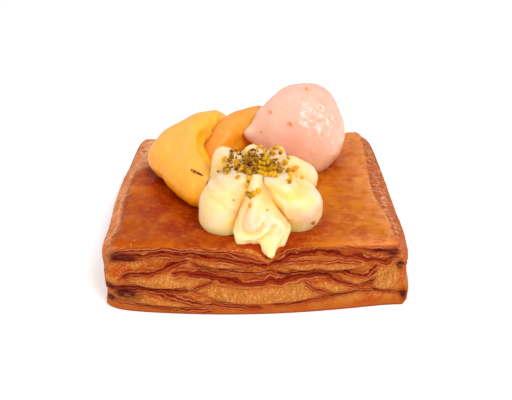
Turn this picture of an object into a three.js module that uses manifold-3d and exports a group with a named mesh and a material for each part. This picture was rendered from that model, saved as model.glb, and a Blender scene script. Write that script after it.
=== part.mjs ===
// Danish pastry with fruit and piped custard cream.
//
// A square block of laminated dough, baked until its cut faces blistered between the thin leaves, carries
// two yellow peach segments, one round pink fruit and a piped cream rosette sprinkled with chopped nuts.
// Millimetres, +Z up, the block centred on the origin with its flat base at z = 0 and its front facing -Y.

import * as THREE from "three";
import { mergeVertices } from "three/addons/utils/BufferGeometryUtils.js";
import Module from "manifold-3d";

const wasm = await Module();
wasm.setup();

// Driving sizes of the dough block
const HALF_WIDTH = 50;
const HALF_DEPTH = 50;
const SHEET_HEIGHT = 22.6; // the glazed top sheet above the table
const CORNER_INSET = { frontLeft: 1.5, frontRight: 0.9, backLeft: 0.3, backRight: 1.4 }; // pulled in, each axis
const FLANK_BOW = 1.4; // the left and right flanks bow out between their corners
const FACE_BELLY = { x: -10, halfLength: 60, reach: 7.3, base: -1.5 }; // the foot of the front bellies forward
const LEFT_TUCK = 0.9; // the left flank is tucked in low down
const CORNER_FLARE = { left: 1.2, right: 3.1 }; // the foot of the front corners stands out
const SHEET_WAIST = 2.8; // the sheet's right edge curves in half way back
const SHEET_INSET = 4.6; // the top sheet is narrower than the block on both flanks
const BLOCK_STEPS = 30; // grid steps along each side of the block
const GAP = 0.3; // clearance kept between pieces that rest on each other
const CENTRING = [0.02, 2.65, 0]; // moves the finished shape so that it stands centred on the origin

// Driving sizes of what lies on the sheet
const CREAM_CENTRE = new THREE.Vector2(1.6, -28.5);
const CREAM_HEIGHT = 20;
const PINK_CENTRE = new THREE.Vector3(16.8, 18.6, 32.8);
const PINK_RADII = new THREE.Vector3(18.4, 16.4, 20.2);

// Small helpers

const clamp = (x, low, high) => Math.min(high, Math.max(low, x));

function ease(from, to, x) {
  const t = clamp((x - from) / (to - from), 0, 1);
  return t * t * (3 - 2 * t);
}

const bell = (x) => Math.exp(-x * x);

const signedPower = (x, power) => Math.sign(x) * Math.abs(x) ** power;

function seededRandom(seed) {
  let state = seed;
  return () => {
    state = (state * 1664525 + 1013904223) % 4294967296;
    return state / 4294967296;
  };
}

// A value read from a short list of [place, value] stations, eased between neighbours.
function station(list, at) {
  if (at <= list[0][0]) return list[0][1];
  for (let i = 1; i < list.length; i++) {
    const [from, low] = list[i - 1];
    const [to, high] = list[i];
    if (at <= to) return low + (high - low) * ease(from, to, at);
  }
  return list[list.length - 1][1];
}

// The same, along one smooth curve through the stations.
function curveThrough(list, at) {
  const last = list.length - 1;
  const i = clamp(list.findIndex(([place]) => place > at) - 1, 0, last - 1) || (at >= list[last][0] ? last - 1 : 0);
  const slope = (k) => {
    const [x0, y0] = list[Math.max(k - 1, 0)];
    const [x1, y1] = list[Math.min(k + 1, last)];
    return (y1 - y0) / (x1 - x0);
  };
  const [from, low] = list[i];
  const [to, high] = list[i + 1];
  const width = to - from;
  const t = clamp((at - from) / width, 0, 1);
  const [t2, t3] = [t * t, t * t * t];
  return (
    (2 * t3 - 3 * t2 + 1) * low +
    (t3 - 2 * t2 + t) * width * slope(i) +
    (3 * t2 - 2 * t3) * high +
    (t3 - t2) * width * slope(i + 1)
  );
}

// A closed mesh as a manifold solid, and back to a three.js geometry.
function solidOf(geometry) {
  const bare = geometry.clone();
  bare.deleteAttribute("normal");
  bare.deleteAttribute("uv");
  const merged = mergeVertices(bare, 1e-4);
  return new wasm.Manifold(
    new wasm.Mesh({
      numProp: 3,
      vertProperties: merged.attributes.position.array,
      triVerts: new Uint32Array(merged.index.array),
    }),
  );
}

function geometryOf(solid) {
  const mesh = solid.getMesh();
  const geometry = new THREE.BufferGeometry();
  geometry.setAttribute("position", new THREE.BufferAttribute(mesh.vertProperties, 3));
  geometry.setIndex(new THREE.BufferAttribute(mesh.triVerts, 1));
  return geometry;
}

// The largest body of a solid: scraps that a cut leaves loose are dropped.
function largestBody(solid) {
  const bodies = solid.decompose();
  return bodies.reduce((best, body) => (body.volume() > best.volume() ? body : best));
}

// A closed skin of rings between two pole points. Each ring is a list of points, all of one length.
function skinOfRings(firstPole, rings, lastPole) {
  const count = rings[0].length;
  const positions = [firstPole, ...rings.flat(), lastPole].flatMap((p) => [p.x, p.y, p.z]);
  const last = rings.length * count + 1;
  const at = (ring, i) => 1 + ring * count + (i % count);
  const faces = [];
  for (let i = 0; i < count; i++) {
    faces.push(0, at(0, i + 1), at(0, i));
    for (let ring = 0; ring < rings.length - 1; ring++) {
      faces.push(at(ring, i), at(ring, i + 1), at(ring + 1, i + 1));
      faces.push(at(ring, i), at(ring + 1, i + 1), at(ring + 1, i));
    }
    faces.push(last, at(rings.length - 1, i), at(rings.length - 1, i + 1));
  }
  const geometry = new THREE.BufferGeometry();
  geometry.setAttribute("position", new THREE.Float32BufferAttribute(positions, 3));
  geometry.setIndex(faces);
  return geometry;
}

// The dough block

// The glazed sheet's height. It sags a little under the toppings, rises to soft shoulders along the
// flanks, and is pinched down at one place of its front edge, under the tail of the cream.
const PINCH = { x: 4.2, halfWidth: 3.8, depth: 4.6, from: -40, to: -51 };

function sheetHeight(x, y) {
  const shoulders = 0.5 * ease(22, 42, Math.abs(x)) + 0.7 * bell((x - 26) / 15) * ease(-20, -48, y);
  const sag = 0.5 * bell(x / 30) * bell(y / 32);
  const waves = 0.35 * Math.sin(x / 11 + 0.6) * Math.cos(y / 13 - 0.4);
  const lowCorner = 1.6 * ease(-30, -44, x) * ease(8, 26, y);
  const backDrop = 0.8 * ease(34, 46, y) * ease(44, 20, x);
  const pinch = PINCH.depth * bell((x - PINCH.x) / PINCH.halfWidth) * ease(PINCH.from, PINCH.to, y);
  return SHEET_HEIGHT + shoulders - sag + waves - lowCorner - backDrop - pinch;
}

// A blister is an air pocket that spread the leaves apart, so the dough between them bulges out smoothly.
// "along" is measured round the block: the front runs 0 to 100 from left to right, then the right flank,
// the back and the left flank, 100 each.
const SIDE = 100;
const AROUND = 4 * SIDE;

const FRONT_BLISTERS = [
  { along: 42, height: 17.6, halfLength: 14, halfHeight: 2, bulge: 0.9 },
  { along: 72, height: 17.6, halfLength: 16, halfHeight: 3.1, bulge: 1.5 },
  { along: 19.5, height: 12.9, halfLength: 12.5, halfHeight: 3.7, bulge: 1.7 },
  { along: 31.5, height: 11.2, halfLength: 5.5, halfHeight: 3, bulge: 1.2 },
  { along: 53, height: 8.4, halfLength: 21, halfHeight: 4.3, bulge: 1.5 },
  { along: 83, height: 12.4, halfLength: 6, halfHeight: 2.1, bulge: 1.1 },
  { along: 76.5, height: 9.6, halfLength: 9, halfHeight: 2.7, bulge: 1.4 },
  { along: 92.5, height: 12, halfLength: 5.5, halfHeight: 5.4, bulge: 1.2 },
  { along: 23, height: 4.9, halfLength: 14, halfHeight: 1.8, bulge: 0.7 },
  { along: 20, height: 19.4, halfLength: 8, halfHeight: 1, bulge: 0.4 },
];

// The other three sides get blisters by rule: staggered rows, each moved and sized by a seeded draw.
function ruledBlisters() {
  const random = seededRandom(7);
  const blisters = [];
  for (let side = 1; side < 4; side++) {
    for (let row = 0; row < 3; row++) {
      for (let step = 0; step < 4; step++) {
        const stagger = row === 1 ? 12 : 0;
        blisters.push({
          along: side * SIDE + 14 + stagger + step * 23 + (random() - 0.5) * 9,
          height: 4.2 + row * 6 + (random() - 0.5) * 2.4,
          halfLength: 9 + random() * 6,
          halfHeight: 1.8 + random() * 1.5,
          bulge: 0.9 + random() * 0.9,
        });
      }
    }
  }
  return blisters;
}

const BLISTERS = [...FRONT_BLISTERS, ...ruledBlisters()];

function aroundDistance(a, b) {
  const d = Math.abs(a - b) % AROUND;
  return Math.min(d, AROUND - d);
}

// How far the skin stands out at a place on the sides: smooth over a blister, sunk in a crease between.
const CREASE_DEPTH = 0.5;

function sideRelief(along, height) {
  let out = 0;
  let inside = 0;
  for (const b of BLISTERS) {
    const dx = aroundDistance(along, b.along) / b.halfLength;
    const dz = (height - b.height) / b.halfHeight;
    const dome = clamp(1 - dx * dx - dz * dz, 0, 1);
    out = Math.max(out, b.bulge * dome ** 0.4);
    inside = Math.max(inside, ease(0, 0.35, dome));
  }
  const middle = ease(0, 2, height) * ease(SHEET_HEIGHT, SHEET_HEIGHT - 3, height);
  const fromFront = aroundDistance(along, SIDE / 2) - SIDE / 2;
  const calm = (1 - 0.6 * ease(-4, 6, fromFront)) * (1 - 0.5 * ease(6, -4, Math.abs(fromFront - SIDE / 2) - SIDE / 2));
  return (out - CREASE_DEPTH * (1 - inside)) * middle * calm;
}

// Profiles from the foot of a side to the rim of the sheet, as [share of the climb, value].
const FLANK_OUT = [
  [0, -0.8],
  [0.06, 0],
  [0.5, 0.3],
  [0.72, 0.3],
  [0.84, -2.4],
  [0.9, -SHEET_INSET + 0.4],
  [0.95, -SHEET_INSET + 0.3],
  [1, -SHEET_INSET - 1],
];
const FLANK_HEIGHT = [
  [0, 0],
  [0.06, 0.05],
  [0.72, 0.8],
  [0.84, 0.88],
  [0.9, 0.91],
  [0.95, 0.97],
  [1, 1],
];
const FACE_OUT = [
  [0, -0.8],
  [0.06, 0],
  [0.5, 0.2],
  [0.94, -0.6],
  [1, -1.8],
];

// One place of the square grid's border: the plan point, its outward direction and the way round.
function borderPlace(u, v) {
  const left = u < 0;
  const front = v < 0;
  const inset = CORNER_INSET[(front ? "front" : "back") + (left ? "Left" : "Right")];
  const pull = inset * (Math.abs(u) * Math.abs(v)) ** 12;
  const plan = new THREE.Vector2(
    HALF_WIDTH * u - Math.sign(u) * pull,
    HALF_DEPTH * v - Math.sign(v) * pull,
  );
  const out = new THREE.Vector2(signedPower(u, 9), signedPower(v, 9)).normalize();
  const edge = Math.max(Math.abs(u), Math.abs(v));
  let along;
  if (v === -edge) along = SIDE * 0.5 * (1 + u / edge);
  else if (u === edge) along = SIDE * (1 + 0.5 * (1 + v / edge));
  else if (v === edge) along = SIDE * (2 + 0.5 * (1 - u / edge));
  else along = SIDE * (3 + 0.5 * (1 - v / edge));
  return { plan, out, along };
}

// The flanks and the back slope in under the sheet; only the front is cut straight.
function flankShare(out) {
  return out.y < 0 ? out.x * out.x : 1;
}

// How far the whole side stands out at a share of the climb: the flanks bow, the front bellies.
function sideOut(place, climb) {
  const { plan, out } = place;
  const flank = flankShare(out);
  const front = out.y < 0 ? out.y * out.y : 0;
  const bow = FLANK_BOW * out.x * out.x * (1 - (plan.y / HALF_DEPTH) ** 2) * ease(0, 0.3, climb);
  const spread = clamp(1 - ((plan.x - FACE_BELLY.x) / FACE_BELLY.halfLength) ** 2, 0, 1);
  const belly = front * (FACE_BELLY.base + FACE_BELLY.reach * spread) * ease(1.05, 0, climb);
  const tuck = LEFT_TUCK * (out.x < 0 ? out.x * out.x : 0) * bell((climb - 0.28) / 0.2);
  const corner = (out.x < 0 ? CORNER_FLARE.left : CORNER_FLARE.right) * Math.abs(out.x);
  const flare = corner * ease(-28, -47, plan.y) * ease(0.55, 0.1, climb);
  const high = ease(0.8, 0.92, climb);
  const torn = 8 * ease(-40, -48, plan.x) * ease(2, 30, plan.y) * high;
  const waist = SHEET_WAIST * ease(40, 48, plan.x) * bell((plan.y + 3) / 22) * high;
  const nearLeft = 2 * ease(-40, -48, plan.x) * ease(-32, -47, plan.y) * high;
  const profile = flank * station(FLANK_OUT, climb) + (1 - flank) * station(FACE_OUT, climb);
  return profile + bow + belly + flare - tuck + (nearLeft - torn - waist) * flank;
}

function rimPoint(place) {
  const plan = place.plan.clone().addScaledVector(place.out, sideOut(place, 1));
  return new THREE.Vector3(plan.x, plan.y, sheetHeight(plan.x, plan.y) - 0.5);
}

function sidePoint(place, climb) {
  const rim = rimPoint(place);
  const flank = flankShare(place.out);
  const share = flank * station(FLANK_HEIGHT, climb) + (1 - flank) * climb;
  const height = rim.z * share;
  const relief = climb > 0 && climb < 1 ? sideRelief(place.along, height) : 0;
  const plan = place.plan.clone().addScaledVector(place.out, sideOut(place, climb) + relief);
  return new THREE.Vector3(plan.x, plan.y, height);
}

const CLIMBS = [0, 0.05, 0.12, 0.2, 0.28, 0.36, 0.44, 0.52, 0.6, 0.68, 0.76, 0.84, 0.9, 0.95, 1];

function doughBlock() {
  const n = BLOCK_STEPS;
  const coordinate = (i) => -1 + (2 * i) / n;
  const border = [];
  for (let i = 0; i < n; i++) border.push([i, 0]);
  for (let i = 0; i < n; i++) border.push([n, i]);
  for (let i = n; i > 0; i--) border.push([i, n]);
  for (let i = n; i > 0; i--) border.push([0, i]);
  const places = border.map(([i, j]) => borderPlace(coordinate(i), coordinate(j)));

  const positions = [0, 0, 0];
  const faces = [];
  const count = border.length;
  for (const climb of CLIMBS)
    for (const place of places) {
      const p = sidePoint(place, climb);
      positions.push(p.x, p.y, p.z);
    }
  const at = (row, k) => 1 + row * count + (k % count);
  for (let k = 0; k < count; k++) {
    faces.push(0, at(0, k + 1), at(0, k));
    for (let row = 0; row < CLIMBS.length - 1; row++) {
      faces.push(at(row, k), at(row, k + 1), at(row + 1, k + 1));
      faces.push(at(row, k), at(row + 1, k + 1), at(row + 1, k));
    }
  }

  // The sheet: a grid whose border is the top row of the sides, and whose inside follows the sheet's height.
  const topRow = new Map(border.map(([i, j], k) => [`${i},${j}`, at(CLIMBS.length - 1, k)]));
  const index = (i, j) => topRow.get(`${i},${j}`);
  for (let i = 1; i < n; i++)
    for (let j = 1; j < n; j++) {
      const u = coordinate(i);
      const v = coordinate(j);
      const edge = Math.max(Math.abs(u), Math.abs(v), 1e-9);
      const place = borderPlace(u / edge, v / edge);
      const rim = rimPoint(place);
      const x = HALF_WIDTH * u + (rim.x - (HALF_WIDTH * u) / edge) * edge ** 5;
      const y = HALF_DEPTH * v + (rim.y - (HALF_DEPTH * v) / edge) * edge ** 5;
      topRow.set(`${i},${j}`, positions.length / 3);
      positions.push(x, y, sheetHeight(x, y));
    }
  for (let i = 0; i < n; i++)
    for (let j = 0; j < n; j++) {
      faces.push(index(i, j), index(i + 1, j), index(i + 1, j + 1));
      faces.push(index(i, j), index(i + 1, j + 1), index(i, j + 1));
    }
  const geometry = new THREE.BufferGeometry();
  geometry.setAttribute("position", new THREE.Float32BufferAttribute(positions, 3));
  geometry.setIndex(faces);
  return geometry;
}

// Whatever lies on the sheet is pressed flat against it.
function restOnSheet(point, grow = 0) {
  point.z = Math.max(point.z, sheetHeight(point.x, point.y) + GAP - grow);
  return point;
}

// Peach segments

// A segment is swept through stations from one tip to the other. Each has the section's centre, its half
// length across, its half thickness and its lean, in degrees: how far the outer edge is turned down.
const FRONT_PEACH = [
  { centre: [-13.5, -27, 27], across: 3.5, thick: 3, lean: 30 },
  { centre: [-19.8, -19, 29], across: 7.6, thick: 5.5, lean: 36 },
  { centre: [-25.6, -6, 31.2], across: 10.2, thick: 6.5, lean: 35 },
  { centre: [-29.6, 7, 32.6], across: 12.6, thick: 7, lean: 29 },
  { centre: [-25, 18, 34], across: 11.6, thick: 6.4, lean: 30 },
  { centre: [-16.5, 22, 36.2], across: 7.5, thick: 5.6, lean: 26 },
  { centre: [-10, 21, 36.5], across: 3, thick: 3, lean: 20 },
];
const BACK_PEACH = [
  { centre: [-16.5, -1, 27], across: 3, thick: 3, lean: 0 },
  { centre: [-16, 7, 29.2], across: 4.4, thick: 5.2, lean: 5 },
  { centre: [-12, 14, 32.4], across: 5.4, thick: 7.6, lean: 0 },
  { centre: [-6, 20.5, 34.2], across: 6, thick: 8.4, lean: -6 },
  { centre: [2, 26.5, 34], across: 6, thick: 8, lean: -4 },
  { centre: [8, 29, 31.5], across: 3.5, thick: 3.5, lean: 0 },
];
const SEGMENT_ROUNDNESS = 0.82; // 1 would be an ellipse, and less is fuller at its corners

function stationAt(stations, t) {
  const spine = new THREE.CatmullRomCurve3(stations.map((s) => new THREE.Vector3(...s.centre)));
  const step = t * (stations.length - 1);
  const along = (key) => station(stations.map((s, i) => [i, s[key]]), step);
  return {
    centre: spine.getPoint(t),
    tangent: spine.getTangent(t),
    across: along("across"),
    thick: along("thick"),
    lean: THREE.MathUtils.degToRad(along("lean")),
  };
}

function peachSegment(stations, grow = 0, rings = 22, sides = 20) {
  const up = new THREE.Vector3(0, 0, 1);
  const skin = [];
  for (let k = 0; k < rings; k++) {
    const t = k / (rings - 1);
    const s = stationAt(stations, t);
    const outward = s.tangent.clone().cross(up).normalize().negate();
    const acrossAxis = outward.clone().multiplyScalar(Math.cos(s.lean));
    acrossAxis.addScaledVector(up, -Math.sin(s.lean));
    const thickAxis = outward.clone().multiplyScalar(Math.sin(s.lean));
    thickAxis.addScaledVector(up, Math.cos(s.lean));
    const cap = Math.sqrt(Math.max(0.1, 1 - (2 * t - 1) ** 8));
    const ring = [];
    for (let i = 0; i < sides; i++) {
      const angle = (2 * Math.PI * i) / sides;
      const a = (s.across * cap + grow) * signedPower(Math.cos(angle), SEGMENT_ROUNDNESS);
      const b = (s.thick * cap + grow) * signedPower(Math.sin(angle), SEGMENT_ROUNDNESS);
      const p = s.centre.clone().addScaledVector(acrossAxis, a).addScaledVector(thickAxis, b);
      ring.push(restOnSheet(p, grow));
    }
    skin.push(ring);
  }
  const tip = (t, reach) => {
    const s = stationAt(stations, t);
    return restOnSheet(s.centre.clone().addScaledVector(s.tangent, reach), grow);
  };
  return skinOfRings(tip(0, -1.2 - grow), skin, tip(1, 1.2 + grow));
}

// The pink fruit

// Soft lumps and flats of its skin: a direction, how far it stands out there and how wide it reaches.
const PINK_LUMPS = [
  { toward: [-0.95, -0.2, 0.12], out: 1.6, reach: 0.4 },
  { toward: [-0.95, -0.28, 0.12], out: 2.6, reach: 0.13 },
  { toward: [-0.66, 0.36, 0.66], out: -1.8, reach: 0.34 },
  { toward: [0.5, 0.38, 0.8], out: 1.7, reach: 0.4 },
  { toward: [0.78, -0.1, 0.62], out: 0.3, reach: 0.35 },
  { toward: [0.35, -0.8, 0.5], out: -0.6, reach: 0.35 },
  { toward: [0.25, -0.75, -0.6], out: 2.6, reach: 0.45 },
];

function pinkFruit(grow = 0, rings = 17, sides = 28) {
  const onSkin = (direction) => {
    let out = grow;
    for (const lump of PINK_LUMPS) {
      const toward = new THREE.Vector3(...lump.toward).normalize();
      out += lump.out * bell(direction.distanceTo(toward) / lump.reach);
    }
    const squat = direction.z < 0 ? 0.75 : 1;
    const p = direction.clone().multiply(PINK_RADII).multiply(new THREE.Vector3(1, 1, squat));
    p.addScaledVector(direction, out);
    return restOnSheet(p.add(PINK_CENTRE), grow);
  };
  const skin = [];
  for (let k = 1; k <= rings; k++) {
    const polar = Math.PI - (Math.PI * k) / (rings + 1);
    const ring = [];
    for (let i = 0; i < sides; i++) {
      const turn = (2 * Math.PI * i) / sides;
      ring.push(
        onSkin(
          new THREE.Vector3(
            Math.sin(polar) * Math.cos(turn),
            Math.sin(polar) * Math.sin(turn),
            Math.cos(polar),
          ),
        ),
      );
    }
    skin.push(ring);
  }
  return skinOfRings(onSkin(new THREE.Vector3(0, 0, -1)), skin, onSkin(new THREE.Vector3(0, 0, 1)));
}

// The piped cream

// The rosette is worked out round its centre. A place on its skin has a turn, in degrees, and a climb
// from 0 at the foot to 1 in the middle of the crater. A lobe lies between its own groove and the next
// one. The groove turns by "sweep" degrees on its way up, the lobe stands out as far as "reach", its
// crest is "peak" high and leans out by "crest", and "shoulder" makes it fuller half way up.
// "columns" is how many columns of faces it gets.
const CREAM_FOOT_RADIUS = 13.6;
const CREAM_LOBES = [
  { columns: 10, groove: 182, sweep: -14, reach: 9.4, peak: 0, shoulder: -1.3, crest: 0 },
  { columns: 15, groove: 235, sweep: 15, reach: 7.2, peak: 0.4, shoulder: 0, crest: 0 },
  { columns: 10, groove: 312, sweep: -39, reach: 7.8, peak: -0.6, shoulder: 2.4, crest: 0 },
  { columns: 9, groove: 368, sweep: -14, reach: 6.8, peak: 0.6, shoulder: 2, crest: 0 },
  { columns: 8, groove: 416, sweep: -16, reach: 4.6, peak: 1.6, shoulder: 0, crest: 2.6 },
  { columns: 7, groove: 458, sweep: -18, reach: 5, peak: 1.9, shoulder: 0, crest: 1 },
  { columns: 9, groove: 497, sweep: -4, reach: 6.6, peak: 2.6, shoulder: 0, crest: 4.8 },
];
const CREAM_TAILS = [
  { turn: 279.5, halfWidth: 12, reach: 3.8, drop: 0.4 },
  { turn: 247, halfWidth: 13, reach: 3.4, drop: 0 },
  { turn: 292, halfWidth: 9, reach: 2.4, drop: 0.2 },
];
const CREAM_SINK = 0.7; // the crest sinks this far between two lobes
const CREAM_RADIUS = [
  [0, 0.84],
  [0.14, 0.97],
  [0.3, 1],
  [0.5, 0.96],
  [0.66, 0.82],
  [0.8, 0.64],
  [0.88, 0.5],
  [1, 0],
];
const CREAM_CLIMB = [
  [0, -0.14],
  [0.14, 0.1],
  [0.3, 0.3],
  [0.5, 0.6],
  [0.66, 0.82],
  [0.8, 1],
  [0.88, 0.96],
  [1, 0.84],
];

function turnDistance(a, b) {
  const d = Math.abs(a - b) % 360;
  return Math.min(d, 360 - d);
}

function creamPoint(turn, climb) {
  const rise = ease(0.1, 0.8, climb);
  const softness = 0.5 + 0.5 * ease(0.25, 0.7, climb);
  const wrapped = (angle) => ((angle % 360) + 360) % 360;
  let reach = 0;
  let peak = -CREAM_SINK;
  let crest = 0;
  CREAM_LOBES.forEach((lobe, i) => {
    const after = CREAM_LOBES[(i + 1) % CREAM_LOBES.length];
    const start = lobe.groove + lobe.sweep * rise;
    const off = (2 * wrapped(turn - start)) / wrapped(after.groove + after.sweep * rise - start) - 1;
    const round = clamp(1 - off * off, 0, 1) ** softness;
    const fuller = lobe.shoulder * bell((climb - 0.6) / 0.25);
    reach = Math.max(reach, (lobe.reach * ease(1, 0.6, climb) + fuller) * round);
    peak = Math.max(peak, (lobe.peak + CREAM_SINK) * round - CREAM_SINK);
    crest = Math.max(crest, lobe.crest * round * bell((climb - 0.78) / 0.15));
  });
  let tail = 0;
  let drop = 0;
  for (const t of CREAM_TAILS) {
    const share = clamp(1 - turnDistance(turn, t.turn) / t.halfWidth, 0, 1) * bell((climb - 0.02) / 0.14);
    tail = Math.max(tail, t.reach * share);
    drop = Math.max(drop, t.drop * t.reach * share);
  }
  const radius = (CREAM_FOOT_RADIUS + reach) * curveThrough(CREAM_RADIUS, climb);
  const angle = THREE.MathUtils.degToRad(turn);
  const out = radius + tail + crest;
  const raised = peak * bell((climb - 0.8) / 0.16);
  return new THREE.Vector3(
    CREAM_CENTRE.x + out * Math.cos(angle),
    CREAM_CENTRE.y + out * Math.sin(angle),
    SHEET_HEIGHT + CREAM_HEIGHT * curveThrough(CREAM_CLIMB, climb) + raised - drop,
  );
}

// The columns of the skin follow the grooves up, so each groove stays a clean valley.
function creamRosette(rows = 18) {
  const skin = [];
  for (let row = 0; row < rows; row++) {
    const climb = row / rows;
    const rise = ease(0.1, 0.8, climb);
    const ring = [];
    CREAM_LOBES.forEach((lobe, i) => {
      const after = CREAM_LOBES[(i + 1) % CREAM_LOBES.length];
      const start = lobe.groove + lobe.sweep * rise;
      const width = (after.groove + after.sweep * rise - start + 360) % 360;
      for (let k = 0; k < lobe.columns; k++) {
        const even = k / lobe.columns;
        const share = 0.5 * even + 0.25 * (1 - Math.cos(Math.PI * even));
        ring.push(creamPoint(start + width * share, climb));
      }
    });
    skin.push(ring);
  }
  const foot = new THREE.Vector3(CREAM_CENTRE.x, CREAM_CENTRE.y, SHEET_HEIGHT - 3.5);
  return skinOfRings(foot, skin, creamPoint(0, 1));
}

// Chopped nuts: small faceted crumbs, the largest first, heaped in the crater and trailed down the front.
const CRUMBS = 44;

function nutCrumbs() {
  const random = seededRandom(11);
  const crumbs = [];
  for (let i = 0; i < CRUMBS; i++) {
    const share = i / CRUMBS;
    const heap = i % 3 !== 2;
    const turn = heap ? (i * 137.5) % 360 : 250 + 75 * random();
    const climb = heap ? 0.84 + 0.14 * random() : 0.5 + 0.32 * random();
    const size = 1.9 - 0.9 * share;
    const crumb = new THREE.IcosahedronGeometry(size, 0);
    crumb.scale(1, 0.6 + 0.4 * random(), 0.5 + 0.3 * random());
    crumb.rotateZ(6.28 * random());
    crumb.rotateX(0.8 * (random() - 0.5));
    const p = creamPoint(turn, climb);
    crumb.translate(p.x, p.y, p.z + size * 0.15);
    crumbs.push(crumb);
  }
  return crumbs;
}

// The pieces, each cut clear of the ones it rests against.
const dough = solidOf(doughBlock());
const pink = solidOf(pinkFruit());
const backPeach = solidOf(peachSegment(BACK_PEACH)).subtract(solidOf(pinkFruit(GAP)));
const frontPeach = solidOf(peachSegment(FRONT_PEACH)).subtract(solidOf(peachSegment(BACK_PEACH, GAP)));
let cream = solidOf(creamRosette());
for (const crumb of nutCrumbs()) cream = cream.add(solidOf(crumb));
cream = cream.subtract(solidOf(pinkFruit(GAP))).subtract(solidOf(peachSegment(FRONT_PEACH, GAP)));
cream = cream.subtract(solidOf(peachSegment(BACK_PEACH, GAP)));
cream = cream.subtract(dough.translate(0, 0, GAP)).subtract(dough.translate(0, -GAP, 0));

const group = new THREE.Group();

function addPiece(name, solid, colour, roughness) {
  const material = new THREE.MeshStandardMaterial({ color: colour, roughness, metalness: 0 });
  const mesh = new THREE.Mesh(geometryOf(solid), material);
  mesh.name = name;
  group.add(mesh);
}

addPiece("dough_block", dough, 0xb8651f, 0.35);
addPiece("front_peach", largestBody(frontPeach), 0xf7ad3c, 0.35);
addPiece("back_peach", largestBody(backPeach), 0xf39a22, 0.35);
addPiece("pink_fruit", pink, 0xf3bfae, 0.3);
addPiece("cream", largestBody(cream), 0xfaeaa8, 0.45);

// The belly of the front face makes the block lopsided, so everything is moved to stand centred.
for (const mesh of group.children) mesh.geometry.translate(...CENTRING);

export default group;
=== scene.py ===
"""A square laminated pastry with peach segments, a pink fruit, piped cream and chopped nuts.

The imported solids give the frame. Every visible piece is worked out again here from the same sizes, at a
much finer step, and dressed with node materials. Shapes are in millimetres until a mesh is made.
"""

import logging
import math
from dataclasses import dataclass, field
from enum import Enum
from typing import ClassVar, Dict, Iterable, List, Optional, Sequence, Tuple

import bpy
import numpy as np
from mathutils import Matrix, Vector
from mathutils.bvhtree import BVHTree


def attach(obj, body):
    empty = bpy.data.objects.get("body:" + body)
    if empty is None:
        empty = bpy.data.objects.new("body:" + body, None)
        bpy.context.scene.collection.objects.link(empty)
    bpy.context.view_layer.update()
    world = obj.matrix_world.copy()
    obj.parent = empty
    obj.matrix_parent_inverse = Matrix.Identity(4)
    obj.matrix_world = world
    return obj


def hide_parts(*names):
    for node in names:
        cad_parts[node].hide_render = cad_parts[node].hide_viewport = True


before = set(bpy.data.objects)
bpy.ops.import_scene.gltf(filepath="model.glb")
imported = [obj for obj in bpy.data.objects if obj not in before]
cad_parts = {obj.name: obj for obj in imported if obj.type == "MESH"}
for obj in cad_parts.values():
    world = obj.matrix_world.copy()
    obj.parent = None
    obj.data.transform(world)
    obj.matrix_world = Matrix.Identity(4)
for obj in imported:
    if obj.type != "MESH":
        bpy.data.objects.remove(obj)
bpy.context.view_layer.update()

logging.basicConfig(level=logging.INFO, format="%(name)s: %(message)s")
LOG = logging.getLogger("pastry")

# One millimetre in Blender's metres, and the way from the shapes' middle to the frame's.
MM = 0.001
CENTRING = np.array([0.02, 2.65, 0.0])

# How far toppings stay off the sheet and off each other, and how deep the cream sinks in.
GAP = 0.3
TOUCH = 0.06
SINK = 0.2

Array = np.ndarray
Colour = Tuple[float, float, float]
Stations = Sequence[Tuple[float, float]]


class Node(Enum):
    """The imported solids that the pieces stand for."""

    DOUGH = "dough_block"
    FRONT_PEACH = "front_peach"
    BACK_PEACH = "back_peach"
    PINK = "pink_fruit"
    CREAM = "cream"


# Numbers


def ease(start: float, end: float, x: Array) -> Array:
    """Smooth step."""
    t = np.clip((np.asarray(x, float) - start) / (end - start), 0.0, 1.0)
    return t * t * (3.0 - 2.0 * t)


def bell(x: Array) -> Array:
    """Gaussian bump of unit height."""
    return np.exp(-np.square(x))


def signed_power(x: Array, power: float) -> Array:
    """Power that keeps the sign."""
    return np.sign(x) * np.abs(x) ** power


def station(stations: Stations, at: Array) -> Array:
    """Value read from a short list of stations, eased between neighbours.

    Args:
        stations: Pairs of place and value, in order.
        at: Places to read.

    Returns:
        Value at each place.
    """
    at = np.asarray(at, float)
    out = np.full(at.shape, float(stations[0][1]))
    for (x0, v0), (x1, v1) in zip(stations, stations[1:]):
        out = out + (v1 - v0) * ease(x0, x1, at)
    return out


def curve_through(stations: Stations, at: Array) -> Array:
    """A value read along one smooth curve through stations.

    Args:
        stations: Places and values, in order.
        at: Where to read.

    Returns:
        Values on the curve.
    """
    place, value = np.array(stations, dtype=float).T
    slope = np.empty_like(value)
    slope[1:-1] = (value[2:] - value[:-2]) / (place[2:] - place[:-2])
    slope[0] = (value[1] - value[0]) / (place[1] - place[0])
    slope[-1] = (value[-1] - value[-2]) / (place[-1] - place[-2])
    i = np.clip(np.searchsorted(place, at, side="right") - 1, 0, len(place) - 2)
    width = place[i + 1] - place[i]
    t = np.clip((at - place[i]) / width, 0, 1)
    t2, t3 = t * t, t * t * t
    ends = (2 * t3 - 3 * t2 + 1) * value[i] + (3 * t2 - 2 * t3) * value[i + 1]
    return ends + ((t3 - 2 * t2 + t) * slope[i] + (t3 - t2) * slope[i + 1]) * width


class SeededDraw:
    """The same short random generator that the solids use."""

    def __init__(self, seed: int) -> None:
        """Starts the generator."""
        self.state = seed

    def __call__(self) -> float:
        """Draws one value."""
        self.state = (self.state * 1664525 + 1013904223) % 4294967296
        return self.state / 4294967296


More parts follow.
